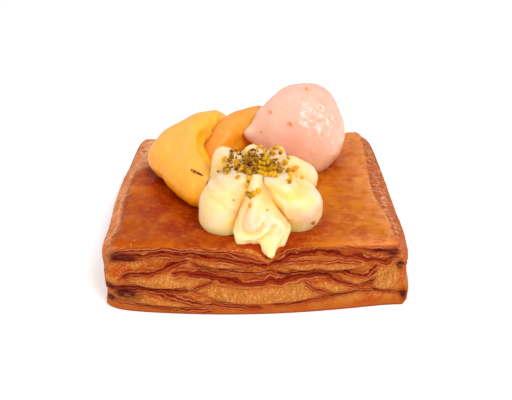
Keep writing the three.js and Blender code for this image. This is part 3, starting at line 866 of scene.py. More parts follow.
@dataclass(frozen=True)
class PeachSegment:
    """A curved peach segment, swept through stations from tip to tip.

    Attributes:
        centres: Centre of the section at each station.
        across: Half length of the section at each station.
        thick: Half thickness at each station.
        lean: How far the outer edge is turned down, in degrees.
        seed: Which unevenness it has.
        rim: Share of the way and angle of the edge where its inner side falls away.
        fall: How deep the inner side is hollowed there, as a share of the section.
        window: Shares of the way over which that edge comes and goes.
        front: Angles over which the front side deepens in colour, partly painted shade.
        strokes: Ridges on its skin.
        roundness: 1 for an ellipse, less for fuller corners.
    """

    centres: Tuple[Tuple[float, float, float], ...]
    across: Tuple[float, ...]
    thick: Tuple[float, ...]
    lean: Tuple[float, ...]
    seed: int
    rim: Stations
    fall: float
    window: Tuple[float, float, float, float]
    front: Tuple[float, float]
    strokes: Tuple[Stroke, ...] = ()
    roundness: float = 0.82

    def centre(self, t: Array) -> Array:
        """Points on the smooth line through the centres.

        Args:
            t: Shares of the way from tip to tip.

        Returns:
            The points.
        """
        points = np.array(self.centres)
        step = np.clip(t, 0, 1) * (len(points) - 1)
        i = np.minimum(step.astype(int), len(points) - 2)
        w = (step - i)[:, None]
        before = np.where((i > 0)[:, None], points[np.maximum(i - 1, 0)], 2 * points[0] - points[1])
        after = np.where(
            (i + 2 < len(points))[:, None],
            points[np.minimum(i + 2, len(points) - 1)],
            2 * points[-1] - points[-2],
        )
        a, b = points[i], points[i + 1]
        return 0.5 * (
            2 * a
            + (b - before) * w
            + (2 * before - 5 * a + 4 * b - after) * w**2
            + (3 * a - before - 3 * b + after) * w**3
        )

    def spine(self, t: Array) -> Tuple[Array, Array]:
        """Centre line and its direction.

        Args:
            t: Shares of the way from tip to tip.

        Returns:
            Centres and unit tangents.
        """
        ahead = self.centre(t + 1e-3) - self.centre(t - 1e-3)
        return self.centre(t), ahead / np.linalg.norm(ahead, axis=1, keepdims=True)

    def shell(self, rings: int = 110, sides: int = 110) -> Shell:
        """Works out the segment.

        Args:
            rings: Sections from tip to tip.
            sides: Points round a section.

        Returns:
            The closed shell.
        """
        t = np.linspace(0, 1, rings)
        step = t * (len(self.centres) - 1)
        numbers = list(range(len(self.centres)))
        across = station(list(zip(numbers, self.across)), step)
        thick = station(list(zip(numbers, self.thick)), step)
        lean = np.radians(station(list(zip(numbers, self.lean)), step))
        centre, tangent = self.spine(t)
        up = np.array([0.0, 0.0, 1.0])
        outward = -np.cross(tangent, up)
        outward /= np.linalg.norm(outward, axis=1, keepdims=True)
        wide = outward * np.cos(lean)[:, None] - up * np.sin(lean)[:, None]
        high = outward * np.sin(lean)[:, None] + up * np.cos(lean)[:, None]
        cap = np.sqrt(np.maximum(0.02, 1 - np.abs(2 * t - 1) ** 8))
        angle = np.linspace(0, 2 * math.pi, sides, endpoint=False)
        degrees = np.degrees(angle)[None, :]
        beyond = degrees - curve_through(self.rim, t)[:, None]
        rise, full, late, gone = self.window
        window = (ease(rise, full, t) * ease(gone, late, t))[:, None]
        inside = ease(0, 9, beyond) * ease(300, 250, degrees) * window
        shrink = 1 - self.fall * ease(0, 26, beyond) * ease(280, 225, degrees) * window
        a = (across * cap)[:, None] * signed_power(np.cos(angle), self.roundness) * shrink
        b = (thick * cap)[:, None] * signed_power(np.sin(angle), self.roundness) * shrink
        ring = centre[:, None] + wide[:, None] * a[..., None] + high[:, None] * b[..., None]
        soft = 0.32 * Ripples(self.seed, 13.0).at(ring) + 0.08 * Ripples(self.seed + 1, 4.0).at(ring)
        away = ring - centre[:, None]
        away /= np.maximum(np.linalg.norm(away, axis=-1, keepdims=True), 1e-6)
        for stroke in self.strokes:
            rows = np.round(np.array([p[0] for p in stroke.path]) * (rings - 1)).astype(int)
            columns = np.round(np.array([p[1] for p in stroke.path]) * sides / 360).astype(int) % sides
            soft += stroke.height * bell(path_distance(ring, ring[rows, columns]) / stroke.width)
        ring = rest_on_sheet(ring + away * soft[..., None])
        first = rest_on_sheet(centre[0] - tangent[0] * 1.2)
        last = rest_on_sheet(centre[-1] + tangent[-1] * 1.2)
        shell = Shell.of_rings(first, ring, last)
        # Painted shade in part: deeper orange in the hollow and on the front side; more saturated low down
        # and darker at the hollow's rim as painted shade.
        inner = np.maximum(inside, 0.5 * ease(*self.front, degrees) * ease(300, 250, degrees))
        low = ease(38, 26, ring[..., 2])
        edge = np.maximum(inside * ease(60, 20, beyond), 0) * ease(-3, 5, beyond)
        shell.add_mask("flesh", (inner, low, edge))
        return shell


FRONT_PEACH = PeachSegment(
    centres=(
        (-13.5, -27, 27), (-19.8, -19, 29), (-25.6, -6, 31.2), (-29.6, 7, 32.6), (-25, 18, 34),
        (-16.5, 22, 36.2), (-10, 21, 36.5),
    ),
    across=(3.5, 7.6, 10.2, 12.6, 11.6, 7.5, 3),
    thick=(3, 5.5, 6.5, 7, 6.4, 5.6, 3),
    lean=(30, 36, 35, 29, 30, 26, 20),
    seed=51,
    rim=((0, 200), (0.2, 172), (0.222, 150), (0.25, 132), (0.29, 127), (0.35, 134), (0.42, 148), (0.5, 160),
         (0.8, 176), (1, 180)),
    fall=0.14,
    window=(0.15, 0.24, 0.5, 0.7),
    front=(120, 170),
    strokes=(
        Stroke(((0.24, 104), (0.24, 118), (0.23, 131), (0.222, 146)), 0.9, 0.5),
        Stroke(((0.232, 104), (0.228, 120), (0.215, 136)), 2.2, 0.35),
        Stroke(((0.34, 96), (0.42, 100), (0.5, 106)), 5.0, -0.5),
    ),
)
BACK_PEACH = PeachSegment(
    centres=(
        (-16.5, -1, 27), (-16, 7, 29.2), (-12, 14, 32.2), (-6, 20.3, 33.2), (2, 26.2, 33),
        (8, 29, 31.5),
    ),
    across=(3, 4.4, 5.4, 6.0, 6.0, 3.5),
    thick=(3, 5.2, 7.8, 9.4, 9, 3.5),
    lean=(0, 5, 0, -6, -4, 0),
    seed=61,
    rim=((0, 108), (0.2, 111), (0.27, 136), (0.36, 146), (0.5, 158), (1, 166)),
    fall=0.06,
    window=(0.1, 0.24, 0.7, 0.9),
    front=(98, 140),
)


# The pink fruit


@dataclass(frozen=True)
class PinkFruit:
    """A round poached fruit with a soft pointed end.

    Attributes:
        centre: Middle of the fruit.
        radii: Its half sizes.
        lumps: Direction, how far it stands out and how wide it reaches.
    """

    centre: Tuple[float, float, float] = (16.8, 18.6, 32.8)
    radii: Tuple[float, float, float] = (18.4, 16.4, 20.2)
    lumps: Tuple[Tuple[Tuple[float, float, float], float, float], ...] = (
        ((-0.95, -0.2, 0.12), 1.6, 0.4),
        ((-0.95, -0.28, 0.12), 2.6, 0.13),
        ((-0.66, 0.36, 0.66), -1.8, 0.34),
        ((0.5, 0.38, 0.8), 1.7, 0.4),
        ((0.78, -0.1, 0.62), 0.3, 0.35),
        ((0.35, -0.8, 0.5), -0.6, 0.35),
        ((0.25, -0.75, -0.6), 2.6, 0.45),
    )

    def skin(self, direction: Array) -> Array:
        """Point of the skin in a direction.

        Args:
            direction: Unit directions from the centre.

        Returns:
            Points of the skin.
        """
        out = np.zeros(direction.shape[:-1])
        for toward, height, reach in self.lumps:
            unit = np.array(toward) / np.linalg.norm(toward)
            out += height * bell(np.linalg.norm(direction - unit, axis=-1) / reach)
        out += 0.22 * Ripples(71, 0.55).at(direction)
        wet_sheen = bell(np.linalg.norm(direction - np.array([0.5, -0.62, 0.55]), axis=-1) / 0.6)
        out += wet_sheen * (0.21 * Ripples(72, 0.17).at(direction) + 0.18 * Ripples(73, 0.085).at(direction))
        out += (0.25 + wet_sheen) * 0.05 * Ripples(74, 0.045).at(direction)
        squat = np.where(direction[..., 2:3] < 0, 0.75, 1.0)
        scale = np.concatenate([np.ones_like(squat), np.ones_like(squat), squat], axis=-1)
        points = direction * np.array(self.radii) * scale + direction * out[..., None]
        return rest_on_sheet(points + np.array(self.centre))

    def shell(self, rings: int = 150, sides: int = 220) -> Shell:
        """Works out the fruit.

        Args:
            rings: Rings from the underside to the top.
            sides: Points in a ring.

        Returns:
            The closed shell.
        """
        polar = math.pi - math.pi * np.arange(1, rings + 1)[:, None] / (rings + 1)
        turn = np.linspace(0, 2 * math.pi, sides, endpoint=False)[None]
        direction = np.stack(
            [np.sin(polar) * np.cos(turn), np.sin(polar) * np.sin(turn), np.cos(polar) + 0 * turn], axis=-1
        )
        low = self.skin(np.array([0.0, 0.0, -1.0]))
        high = self.skin(np.array([0.0, 0.0, 1.0]))
        shell = Shell.of_rings(low, self.skin(direction), high)
        # Painted highlights: streaks on the right side that stand in for glints off the damp skin.
        shine_streak_place = np.stack([turn * 9 + 0 * polar, polar * 3.2 + 0 * turn], axis=-1)
        streaks = ease(0.66, 0.98, Ripples(75, 1.3).at(shine_streak_place)) + ease(0.76, 1.0, Ripples(76, 0.5).at(shine_streak_place))
        area = bell(np.linalg.norm(direction - np.array([0.62, -0.66, 0.42]), axis=-1) / 0.42)
        shell.add_mask("wet_sheen", [np.clip(streaks * area, 0, 1)])
        return shell


PINK = PinkFruit()


# The piped cream


def turn_distance(a: Array, b: Array) -> Array:
    """Shortest way between two turns, in degrees."""
    d = np.abs(a - b) % 360
    return np.minimum(d, 360 - d)


@dataclass(frozen=True)
class Lobe:
    """One fat lobe of the rosette and the groove on its clockwise side.

    Attributes:
        groove: Where the groove stands at the foot, in degrees.
        sweep: How far the groove turns on its way up, in degrees.
        reach: How far the lobe stands out.
        peak: How high its crest is.
        shoulder: How much fuller it is near the top.
        crest: How far its crest leans out.
    """

    groove: float
    sweep: float
    reach: float
    peak: float
    shoulder: float = 0.0
    crest: float = 0.0


@dataclass(frozen=True)
class CreamRosette:
    """The piped rosette with its crater and its tail over the front edge.

    Attributes:
        centre: Plan of its middle.
        height: How high it is.
        foot_radius: Radius of its foot between the lobes.
        lobes: The lobes, anticlockwise.
        tail_turn: Where the tail hangs over the edge, in degrees.
        tails: Turn, half width, reach and share of it that drops, of each drawn out end at the foot.
        strokes: Folds of the skin.
    """

    centre: Tuple[float, float] = (1.6, -28.5)
    height: float = 20.0
    foot_radius: float = 13.6
    lobes: Tuple[Lobe, ...] = (
        Lobe(182, -14, 9.4, 0, -1.3),
        Lobe(235, 15, 7.2, 0.4),
        Lobe(312, -39, 7.8, -0.6, 2.4),
        Lobe(368, -14, 6.8, 0.6, 2.0),
        Lobe(416, -16, 4.6, 1.6, 0, 2.6),
        Lobe(458, -18, 5, 1.9, 0, 1.0),
        Lobe(497, -4, 6.6, 2.6, 0, 4.8),
    )
    tail_turn: float = 272.0
    tails: Tuple[Tuple[float, float, float, float], ...] = (
        (279.5, 12, 3.8, 0.4), (247, 13, 3.4, 0.0), (292, 9, 2.4, 0.2),
    )
    strokes: Tuple[Stroke, ...] = (
        Stroke(
            ((257, 0.55), (252, 0.42), (250, 0.33), (253, 0.25), (259, 0.22), (265, 0.25), (271, 0.34)),
            0.8, -1.1,
        ),
        Stroke(((266, 0.6), (262, 0.47), (261, 0.39), (262, 0.35), (267, 0.38), (272, 0.45)), 1.1, 0.7),
        Stroke(
            ((241, 0.3), (242, 0.18), (247, 0.15), (255, 0.145), (262, 0.14), (268, 0.21), (273, 0.3)),
            0.9, 0.5,
        ),
        Stroke(((257, 0.1), (263, 0.085), (268, 0.14), (273, 0.21), (278, 0.26), (282, 0.33)), 0.75, -1.2),
        Stroke(
            ((281, 0.4), (286, 0.37), (291, 0.3), (293, 0.22), (288, 0.17), (281, 0.15), (278, 0.05)),
            1.2, 1.0,
        ),
        Stroke(((304, 0.27), (300, 0.21), (294, 0.165), (287, 0.11), (284, 0.05)), 1.0, -1.3),
        Stroke(((261, 0.1), (265, 0.08), (267, 0.03)), 1.0, -1.3),
        Stroke(((200, 0.58), (212, 0.55), (224, 0.52), (233, 0.45), (239, 0.38)), 0.8, -0.5),
        Stroke(((273, 0.75), (281, 0.69), (286, 0.6), (295, 0.55), (299, 0.43), (303, 0.35)), 1.1, 0.6),
        Stroke(((281, 0.68), (288, 0.63), (297, 0.63), (308, 0.66), (326, 0.7), (342, 0.76)), 2.4, -1.5),
        Stroke(((190, 0.66), (205, 0.68), (222, 0.66), (236, 0.6)), 1.2, -0.5),
        Stroke(((20, 0.3), (28, 0.45), (40, 0.6)), 1.0, -0.5),
        Stroke(((150, 0.3), (158, 0.45), (166, 0.62)), 1.0, -0.5),
    )

    RADIUS = ((0, 0.84), (0.14, 0.97), (0.3, 1), (0.5, 0.96), (0.66, 0.82), (0.8, 0.64), (0.88, 0.5), (1, 0))
    CLIMB = ((0, -0.14), (0.14, 0.1), (0.3, 0.3), (0.5, 0.6), (0.66, 0.82), (0.8, 1), (0.88, 0.96), (1, 0.84))

    def points(self, turn: Array, climb: Array) -> Array:
        """Points of the cream's skin.

        Args:
            turn: Turns round the rosette, in degrees.
            climb: Climbs from 0 at the foot to 1 in the crater.

        Returns:
            Points in millimetres.
        """
        reach = np.zeros(np.broadcast(turn, climb).shape)
        peak = np.full_like(reach, -0.7)
        crest = np.zeros_like(reach)
        rise = ease(0.1, 0.8, climb)
        softness = 0.5 + 0.5 * ease(0.25, 0.7, climb)
        for lobe, after in zip(self.lobes, self.lobes[1:] + self.lobes[:1]):
            start = lobe.groove + lobe.sweep * rise
            width = (after.groove + after.sweep * rise - start) % 360
            off = 2 * ((turn - start) % 360) / width - 1
            round_off = np.clip(1 - off * off, 0, 1) ** softness
            fuller = lobe.shoulder * bell((climb - 0.6) / 0.25)
            reach = np.maximum(reach, (lobe.reach * ease(1, 0.6, climb) + fuller) * round_off)
            peak = np.maximum(peak, (lobe.peak + 0.7) * round_off - 0.7)
            crest = np.maximum(crest, lobe.crest * round_off * bell((climb - 0.78) / 0.15))
        tail = np.zeros_like(reach)
        drop = np.zeros_like(reach)
        for turn_at, half_width, tail_reach, dropped in self.tails:
            share = np.clip(1 - turn_distance(turn, turn_at) / half_width, 0, 1)
            out_here = tail_reach * share * bell((climb - 0.02) / 0.14)
            tail = np.maximum(tail, out_here)
            drop = np.maximum(drop, dropped * out_here)
        radius = (self.foot_radius + reach) * curve_through(self.RADIUS, climb)
        angle = np.radians(turn)
        out = radius + tail + crest
        raised = peak * bell((climb - 0.8) / 0.16)
        z = DOUGH.sheet + self.height * curve_through(self.CLIMB, climb) + raised - drop
        x = self.centre[0] + out * np.cos(angle)
        y = self.centre[1] + out * np.sin(angle)
        return np.stack([x, y, z + 0 * x], axis=-1)

    def valley(self, turn: Array, climb: Array) -> Array:
        """How near each place lies to a groove between two lobes.

        Args:
            turn: Turns round the rosette, in degrees.
            climb: Climbs.

        Returns:
            0 on the lobes to 1 in a groove.
        """
        rise = ease(0.1, 0.8, climb)
        deep = np.zeros(np.broadcast(turn, climb).shape)
        for lobe in self.lobes:
            off = turn_distance(turn, lobe.groove + lobe.sweep * rise)
            deep = np.maximum(deep, bell(off / 7.0))
        return deep

    def shell(self, sides: int = 520, rows: int = 150) -> Shell:
        """Works out the rosette.

        Args:
            sides: Points in a ring.
            rows: Rings from the foot to the crater.

        Returns:
            The closed shell.
        """
        turn = np.linspace(0, 360, sides, endpoint=False)[None]
        climb = (np.arange(rows) / rows)[:, None]
        rings = self.points(turn, climb)
        lift = 0.2 * Ripples(81, 7.0).at(rings) + 0.05 * Ripples(82, 2.4).at(rings)
        for stroke in self.strokes:
            path = self.points(*np.array(stroke.path).T)
            lift += stroke.height * bell(path_distance(rings, path) / stroke.width)
        foot = np.array([self.centre[0], self.centre[1], DOUGH.sheet - 3.5])
        shell = Shell.of_rings(foot, rings, self.points(np.array(0.0), np.array(1.0)))
        low = ease(0.4, 0.0, climb) * np.ones(lift.shape)
        # Painted shade: folds and grooves between lobes, and the part low down, take a yellower shade.
        shell.add_mask("cream", (np.clip(-lift / 1.1, 0, 1), self.valley(turn, climb), low))
        # Painted light at the tail's foot, where the emission lifts the shade.
        shell.add_mask("hem", [ease(0.2, 0.1, climb) * ease(30, 16, turn_distance(turn, self.tail_turn))])
        normals = shell.normals()[1:-1].reshape(rings.shape)
        shell.points[1:-1] = (rings + normals * lift[..., None]).reshape(-1, 3)
        return shell


CREAM = CreamRosette()


# Materials


def linear(red: int, green: int, blue: int) -> Tuple[float, float, float, float]:
    """Screen colour, each part from 0 to 255, as a linear colour with alpha 1."""
    share = np.array([red, green, blue]) / 255
    return (*np.where(share <= 0.04045, share / 12.92, ((share + 0.055) / 1.055) ** 2.4).tolist(), 1.0)


BLACK = (0.0, 0.0, 0.0, 1.0)
WHITE = (1.0, 1.0, 1.0, 1.0)
Socket = bpy.types.NodeSocket


class Wiring:
    """Short calls that add nodes to a tree and link them."""

    def __init__(self, tree: bpy.types.NodeTree) -> None:
        """Keeps the tree to build in."""
        self.tree = tree

    def feed(self, node: bpy.types.Node, inputs: Dict[object, object]) -> None:
        """Feeds the inputs of a node.

        Args:
            node: The node.
            inputs: Constants or sockets by input name or number.
        """
        for key, value in inputs.items():
            if isinstance(value, bpy.types.NodeSocket):
                self.tree.links.new(value, node.inputs[key])
            else:
                node.inputs[key].default_value = value

    def add(
        self, kind: str, inputs: Optional[Dict[object, object]] = None, **settings: object
    ) -> bpy.types.Node:
        """Adds one node.

        Args:
            kind: Its type.
            inputs: Constants or sockets by input name or number.
            settings: Properties to set on it.

        Returns:
            The node.
        """
        node = self.tree.nodes.new(kind)
        for name, value in settings.items():
            setattr(node, name, value)
        self.feed(node, inputs or {})
        return node

    def math(self, operation: str, a: object, b: object = 0.0, c: object = 0.0) -> Socket:
        """Result of a maths node with up to three operands."""
        return self.add("ShaderNodeMath", {0: a, 1: b, 2: c}, operation=operation).outputs[0]

    def product(self, a: object, b: object) -> Socket:
        """Product of two values."""
        return self.math("MULTIPLY", a, b)

    def mix(self, factor: object, a: object, b: object) -> Socket:
        """Mix of two colours, where the factor is the share of the second."""
        return self.add("ShaderNodeMix", {0: factor, 6: a, 7: b}, data_type="RGBA").outputs[2]

    def tint(self, colour: object, mask: object, paint: Colour, share: float = 1.0) -> Socket:
        """A colour with a screen colour laid over it by a share of a mask."""
        return self.mix(mask if share == 1.0 else self.product(mask, share), colour, linear(*paint))

    def ramp(
        self, value: Socket, low: float, high: float, to_low: float = 0.0, to_high: float = 1.0
    ) -> Socket:
        """A value eased from the range low to high into the range to_low to to_high."""
        inputs = {0: value, 1: low, 2: high, 3: to_low, 4: to_high}
        return self.add("ShaderNodeMapRange", inputs, interpolation_type="SMOOTHSTEP").outputs[0]

    def noise(self, where: Socket, scale: float, detail: float = 3.0, roughness: float = 0.55) -> Socket:
        """A noise of some waves in a metre, with octaves of detail."""
        inputs = {"Vector": where, "Scale": scale, "Detail": detail, "Roughness": roughness}
        return self.add("ShaderNodeTexNoise", inputs).outputs[0]

    def stretched(self, where: Socket, x: float, y: float, z: float) -> Socket:
        """Coordinates scaled by a factor for each axis."""
        return self.add("ShaderNodeMapping", {"Vector": where, "Scale": (x, y, z)}).outputs[0]

    def part(self, where: Socket, axis: int) -> Socket:
        """One coordinate: 0 across, 1 in depth, 2 in height."""
        return self.add("ShaderNodeSeparateXYZ", {0: where}).outputs[axis]

    def masks(self, name: str) -> Tuple[Socket, ...]:
        """The three channels of a colour mask of the mesh."""
        attribute = self.add("ShaderNodeAttribute", attribute_name=name, attribute_type="GEOMETRY")
        return tuple(self.add("ShaderNodeSeparateColor", {0: attribute.outputs["Color"]}).outputs[:3])


def new_material(name: str) -> Tuple[bpy.types.Material, Wiring, bpy.types.Node, Socket]:
    """Starts a node material.

    Args:
        name: Its name.

    Returns:
        The material, its wiring, its shader and its coordinates.
    """
    material = bpy.data.materials.new(name)
    material.use_nodes = True
    material.node_tree.nodes.clear()
    wire = Wiring(material.node_tree)
    shader = wire.add("ShaderNodeBsdfPrincipled")
    wire.add("ShaderNodeOutputMaterial", {"Surface": shader.outputs[0]})
    return material, wire, shader, wire.add("ShaderNodeTexCoord").outputs["Object"]


def surface_group(name: str, coarse: float, fine: float) -> bpy.types.NodeTree:
    """Shared effect: two sizes of unevenness as a bumped normal.

    Args:
        name: Name of the group.
        coarse: Waves in a metre of the larger size.
        fine: Waves in a metre of the finer size.

    Returns:
        The group, with inputs for the coordinates and the depth of the bumps in metres.
    """
    tree = bpy.data.node_groups.new(name, "ShaderNodeTree")
    tree.interface.new_socket("Vector", in_out="INPUT", socket_type="NodeSocketVector")
    tree.interface.new_socket("Depth", in_out="INPUT", socket_type="NodeSocketFloat")
    tree.interface.new_socket("Normal", in_out="OUTPUT", socket_type="NodeSocketVector")
    wire = Wiring(tree)
    entry = wire.add("NodeGroupInput")
    large = wire.noise(entry.outputs["Vector"], coarse, 4.0)
    small = wire.noise(entry.outputs["Vector"], fine, 3.0, 0.6)
    both = wire.math("MULTIPLY_ADD", small, 0.5, large)
    bump = wire.add("ShaderNodeBump", {"Strength": 1.0, "Distance": entry.outputs["Depth"], "Height": both})
    wire.add("NodeGroupOutput", {"Normal": bump.outputs[0]})
    return tree


@dataclass(frozen=True)
class Finish:
    """A finish: nodes that work out its looks, over constant settings of the shader.

    Attributes:
        name: Name of the material.
        bump: Depth of its unevenness in metres.
        settings: Constants by shader input.
    """

    name: str

    bump: ClassVar[float] = 0.0002
    settings: ClassVar[Dict[str, object]] = {}

    def looks(self, wire: Wiring, where: Socket) -> Dict[str, object]:
        """Sockets and constants of this finish by shader input, from the coordinates."""
        raise NotImplementedError

    def build(self, effect: bpy.types.NodeTree) -> bpy.types.Material:
        """Builds the material.

        Args:
            effect: Shared unevenness.

        Returns:
            The material.
        """
        material, wire, shader, where = new_material(self.name)
        uneven = wire.add("ShaderNodeGroup", node_tree=effect)
        wire.feed(uneven, {"Vector": where, "Depth": self.bump})
        wire.feed(shader, {"Normal": uneven.outputs["Normal"], **self.settings, **self.looks(wire, where)})
        return material


@dataclass(frozen=True)
class DoughFinish(Finish):
    """Baked dough: tan blisters, dark leaf lines, pale edges and a glazed sheet, with painted shade round the
    seams and the toppings and painted highlights on leaf edges and on the sheet's right side.

    The leaves beside a seam are 0.82 mm apart, and the strands in a seam 0.46 mm.
    """

    crust: Colour = (172, 70, 8)
    blister: Colour = (184, 108, 36)
    olive: Colour = (166, 98, 30)
    # Dark seam colour: burnt leaf edges, partly painted shade in the gaps.
    crease: Colour = (104, 16, 5)
    # Darker tone of random streaks and of the very bottom, also painted shade round the seams.
    toast_and_shade: Colour = (150, 52, 6)
    ember: Colour = (144, 40, 8)
    pale: Colour = (226, 148, 88)
    # Burnt colour, also used for the painted shadow line at the step under the sheet's edge.
    burnt: Colour = (74, 8, 8)
    sheet: Colour = (188, 86, 4)
    sheet_dark: Colour = (156, 50, 3)
    sheet_light: Colour = (210, 124, 10)
    # Dark syrup red, also painted shade round the toppings.
    juice_and_shade: Colour = (140, 28, 2)
    # Pale glaze tone, also painted highlights on the right.
    pale_sheet: Colour = (232, 142, 76)
    shoulder: Colour = (228, 140, 82)
    shoulder_right: Colour = (188, 98, 40)
    strip: Colour = (170, 82, 22)
    flake: Colour = (244, 196, 160)

    leaf: ClassVar[float] = 0.82
    thin_leaf: ClassVar[float] = 0.46
    bump: ClassVar[float] = 0.00014
    settings: ClassVar[Dict[str, object]] = {"Specular IOR Level": 0.07}

    def looks(self, wire: Wiring, where: Socket) -> Dict[str, object]:
        """Works out the sides, the ledge round the sheet, the glaze and the burns.

        Args:
            wire: The material's wiring.
            where: Coordinates.

        Returns:
            Sockets by shader input.
        """
        crease, bundle, blister = wire.masks("bake_and_shade")
        burnt, sheet, shoulder = wire.masks("zone")
        leaf, height, flaky = wire.masks("leaf")
        juice_and_shade, pale, _ = wire.masks("glaze")
        colour = self.side(wire, where, blister, height)
        colour = self.leaves(wire, where, colour, leaf, bundle, crease)
        colour = wire.mix(shoulder, colour, self.ledge(wire, where))
        cracks = wire.ramp(wire.noise(where, 620, 3.0, 0.7), 0.42, 0.62)
        colour = wire.tint(colour, wire.product(flaky, cracks), self.flake)
        colour = wire.mix(sheet, colour, self.glaze(wire, where, juice_and_shade, pale))
        strands = wire.noise(wire.stretched(where, 0.35, 0.35, 2.4), 620, 3.0, 0.6)
        # Burns, and the painted shadow line at the step under the sheet's edge.
        singed = wire.product(burnt, wire.ramp(strands, 0.32, 0.55, 0.45, 1.0))
        colour = wire.tint(colour, singed, self.burnt)
        dry = wire.math("MULTIPLY_ADD", sheet, -0.26, 0.56)
        wet_sheen = wire.product(wire.product(juice_and_shade, sheet), 0.14)
        return {"Base Color": colour, "Roughness": wire.math("SUBTRACT", dry, wet_sheen)}

    def side(self, wire: Wiring, where: Socket, blister: Socket, height: Socket) -> Socket:
        """Colour of the sides between the leaf lines.

        Args:
            wire: The material's wiring.
            where: Coordinates.
            blister: Mask of the blisters.
            height: Height over 30 mm.

        Returns:
            The colour.
        """
        streaks = wire.noise(wire.stretched(where, 1.0, 1.0, 0.3), 1350, 3.0, 0.6)
        patch = wire.ramp(wire.noise(where, 170, 3.0), 0.38, 0.66)
        rest = wire.tint(linear(*self.crust), patch, self.blister)
        rest = wire.tint(rest, wire.ramp(height, 0.12, 0.02), self.strip)
        # Darker along the very bottom.
        rest = wire.tint(rest, wire.ramp(height, 0.035, 0.0, 0.0, 0.85), self.toast_and_shade)
        tan = wire.tint(linear(*self.blister), patch, self.olive)
        tan = wire.tint(tan, wire.ramp(streaks, 0.5, 0.7, 0.0, 0.55), self.pale)
        tan = wire.tint(tan, wire.ramp(streaks, 0.47, 0.3, 0.0, 0.55), self.toast_and_shade)
        rim = wire.ramp(wire.math("ABSOLUTE", wire.math("SUBTRACT", blister, 0.4)), 0.3, 0.0, 0.0, 0.6)
        both = wire.tint(wire.mix(blister, rest, tan), rim, self.crust)
        bare = wire.ramp(height, 0.08, 0.16, 0.15, 1.0)
        speck = wire.ramp(wire.noise(where, 1500, 2.0), 0.5, 0.66, 0.0, 0.5)
        return wire.tint(both, wire.product(speck, bare), self.pale)

    def leaves(
        self, wire: Wiring, where: Socket, colour: Socket, leaf: Socket, bundle: Socket, seam: Socket
    ) -> Socket:
        """Dark seams, partly painted shade, with thin dark and pale leaf lines beside them; the pale lines
        are partly painted highlights, and painted shade darkens the bundles.

        Args:
            wire: The material's wiring.
            where: Coordinates.
            colour: Colour under the lines.
            leaf: Height above the nearest seam.
            bundle: Mask of the bundles of leaves.
            seam: Width of the nearest seam.

        Returns:
            The colour.
        """
        sway = wire.product(wire.math("SUBTRACT", wire.noise(where, 150, 2.0, 0.5), 0.5), 1.2)
        fray = wire.product(wire.math("SUBTRACT", wire.noise(where, 700, 2.0), 0.5), 0.3)
        drift = wire.math("SUBTRACT", wire.math("ADD", sway, fray), 4.0)
        off = wire.math("MULTIPLY_ADD", leaf, 8.0, drift)
        wave = wire.math("SINE", wire.product(off, 2 * math.pi / self.leaf))
        gate = wire.ramp(wire.noise(wire.stretched(where, 0.5, 0.5, 1.6), 330, 2.0), 0.36, 0.56)
        strength = wire.product(bundle, gate)
        # Painted shade: the bundles of leaves round each seam are darkened, partly a baked tone.
        colour = wire.tint(colour, wire.ramp(bundle, 0.05, 0.9, 0.0, 0.75), self.toast_and_shade)
        # Pale leaf edges beside the seams, partly a painted highlight on each edge.
        colour = wire.tint(colour, wire.product(wire.ramp(wave, -0.2, -0.8), strength), self.pale, 0.42)
        # Thin dark leaf lines: burnt leaf edges with painted shade in the gaps between them.
        colour = wire.tint(colour, wire.product(wire.ramp(wave, 0.45, 0.9), strength), self.crease)
        thin = wire.math("SINE", wire.product(off, 2 * math.pi / self.thin_leaf))
        ragged = wire.math("ADD", thin, wire.ramp(wire.noise(where, 420, 2.0), 0.4, 0.7))
        # The seam's dark core: burnt leaf edges with painted shade in the gap.
        core = wire.tint(linear(*self.crease), wire.ramp(ragged, 0.3, 1.1), self.ember)
        near = wire.math("SUBTRACT", wire.product(seam, 0.6), wire.math("ABSOLUTE", off))
        return wire.mix(wire.ramp(near, -0.16, 0.1), colour, core)

    def ledge(self, wire: Wiring, where: Socket) -> Socket:
        """Colour of the flaky ledge between the flanks and the sheet.

        Args:
            wire: The material's wiring.
            where: Coordinates.

        Returns:
            The colour.
        """
        right = wire.ramp(wire.part(where, 0), -0.01, 0.01)
        ledge = wire.tint(linear(*self.shoulder), right, self.shoulder_right)
        ledge = wire.tint(ledge, wire.ramp(wire.noise(where, 150, 3.0), 0.35, 0.65), self.crust, 0.45)
        grain = wire.noise(wire.stretched(where, 1.0, 1.0, 2.6), 520, 4.0, 0.65)
        ledge = wire.tint(ledge, wire.ramp(grain, 0.54, 0.7, 0.0, 0.7), self.flake)
        return wire.tint(ledge, wire.ramp(grain, 0.46, 0.32, 0.0, 0.75), self.ember)

    def glaze(self, wire: Wiring, where: Socket, juice_and_shade: Socket, pale: Socket) -> Socket:
        """Mottled colour of the glazed sheet, lighter towards the right, partly painted light, with painted
        highlight spots on the right.

        Args:
            wire: The material's wiring.
            where: Coordinates.
            juice_and_shade: Mask of syrup and of painted shade round the toppings.
            pale: Mask of the paler dough, partly a painted highlight along the right rim.

        Returns:
            The colour.
        """
        # Lighter towards the right: partly the sheet's tone, partly painted light.
        rightward = wire.ramp(wire.part(where, 0), 0.002, 0.034)
        broad = wire.ramp(wire.noise(where, 75, 4.0), 0.36, 0.62)
        dark = wire.tint(linear(*self.sheet_dark), broad, self.sheet)
        bright = wire.tint(linear(*self.sheet), broad, self.sheet_light)
        top = wire.mix(wire.product(rightward, 0.9), dark, bright)
        top = wire.tint(top, wire.ramp(wire.noise(where, 140, 4.0), 0.48, 0.68, 0.0, 0.6), self.sheet_light)
        # Syrup and painted shade round the toppings.
        top = wire.tint(top, juice_and_shade, self.juice_and_shade, 0.75)
        blotch = wire.ramp(wire.noise(where, 260, 4.0, 0.6), 0.3, 0.6, 0.4, 1.0)
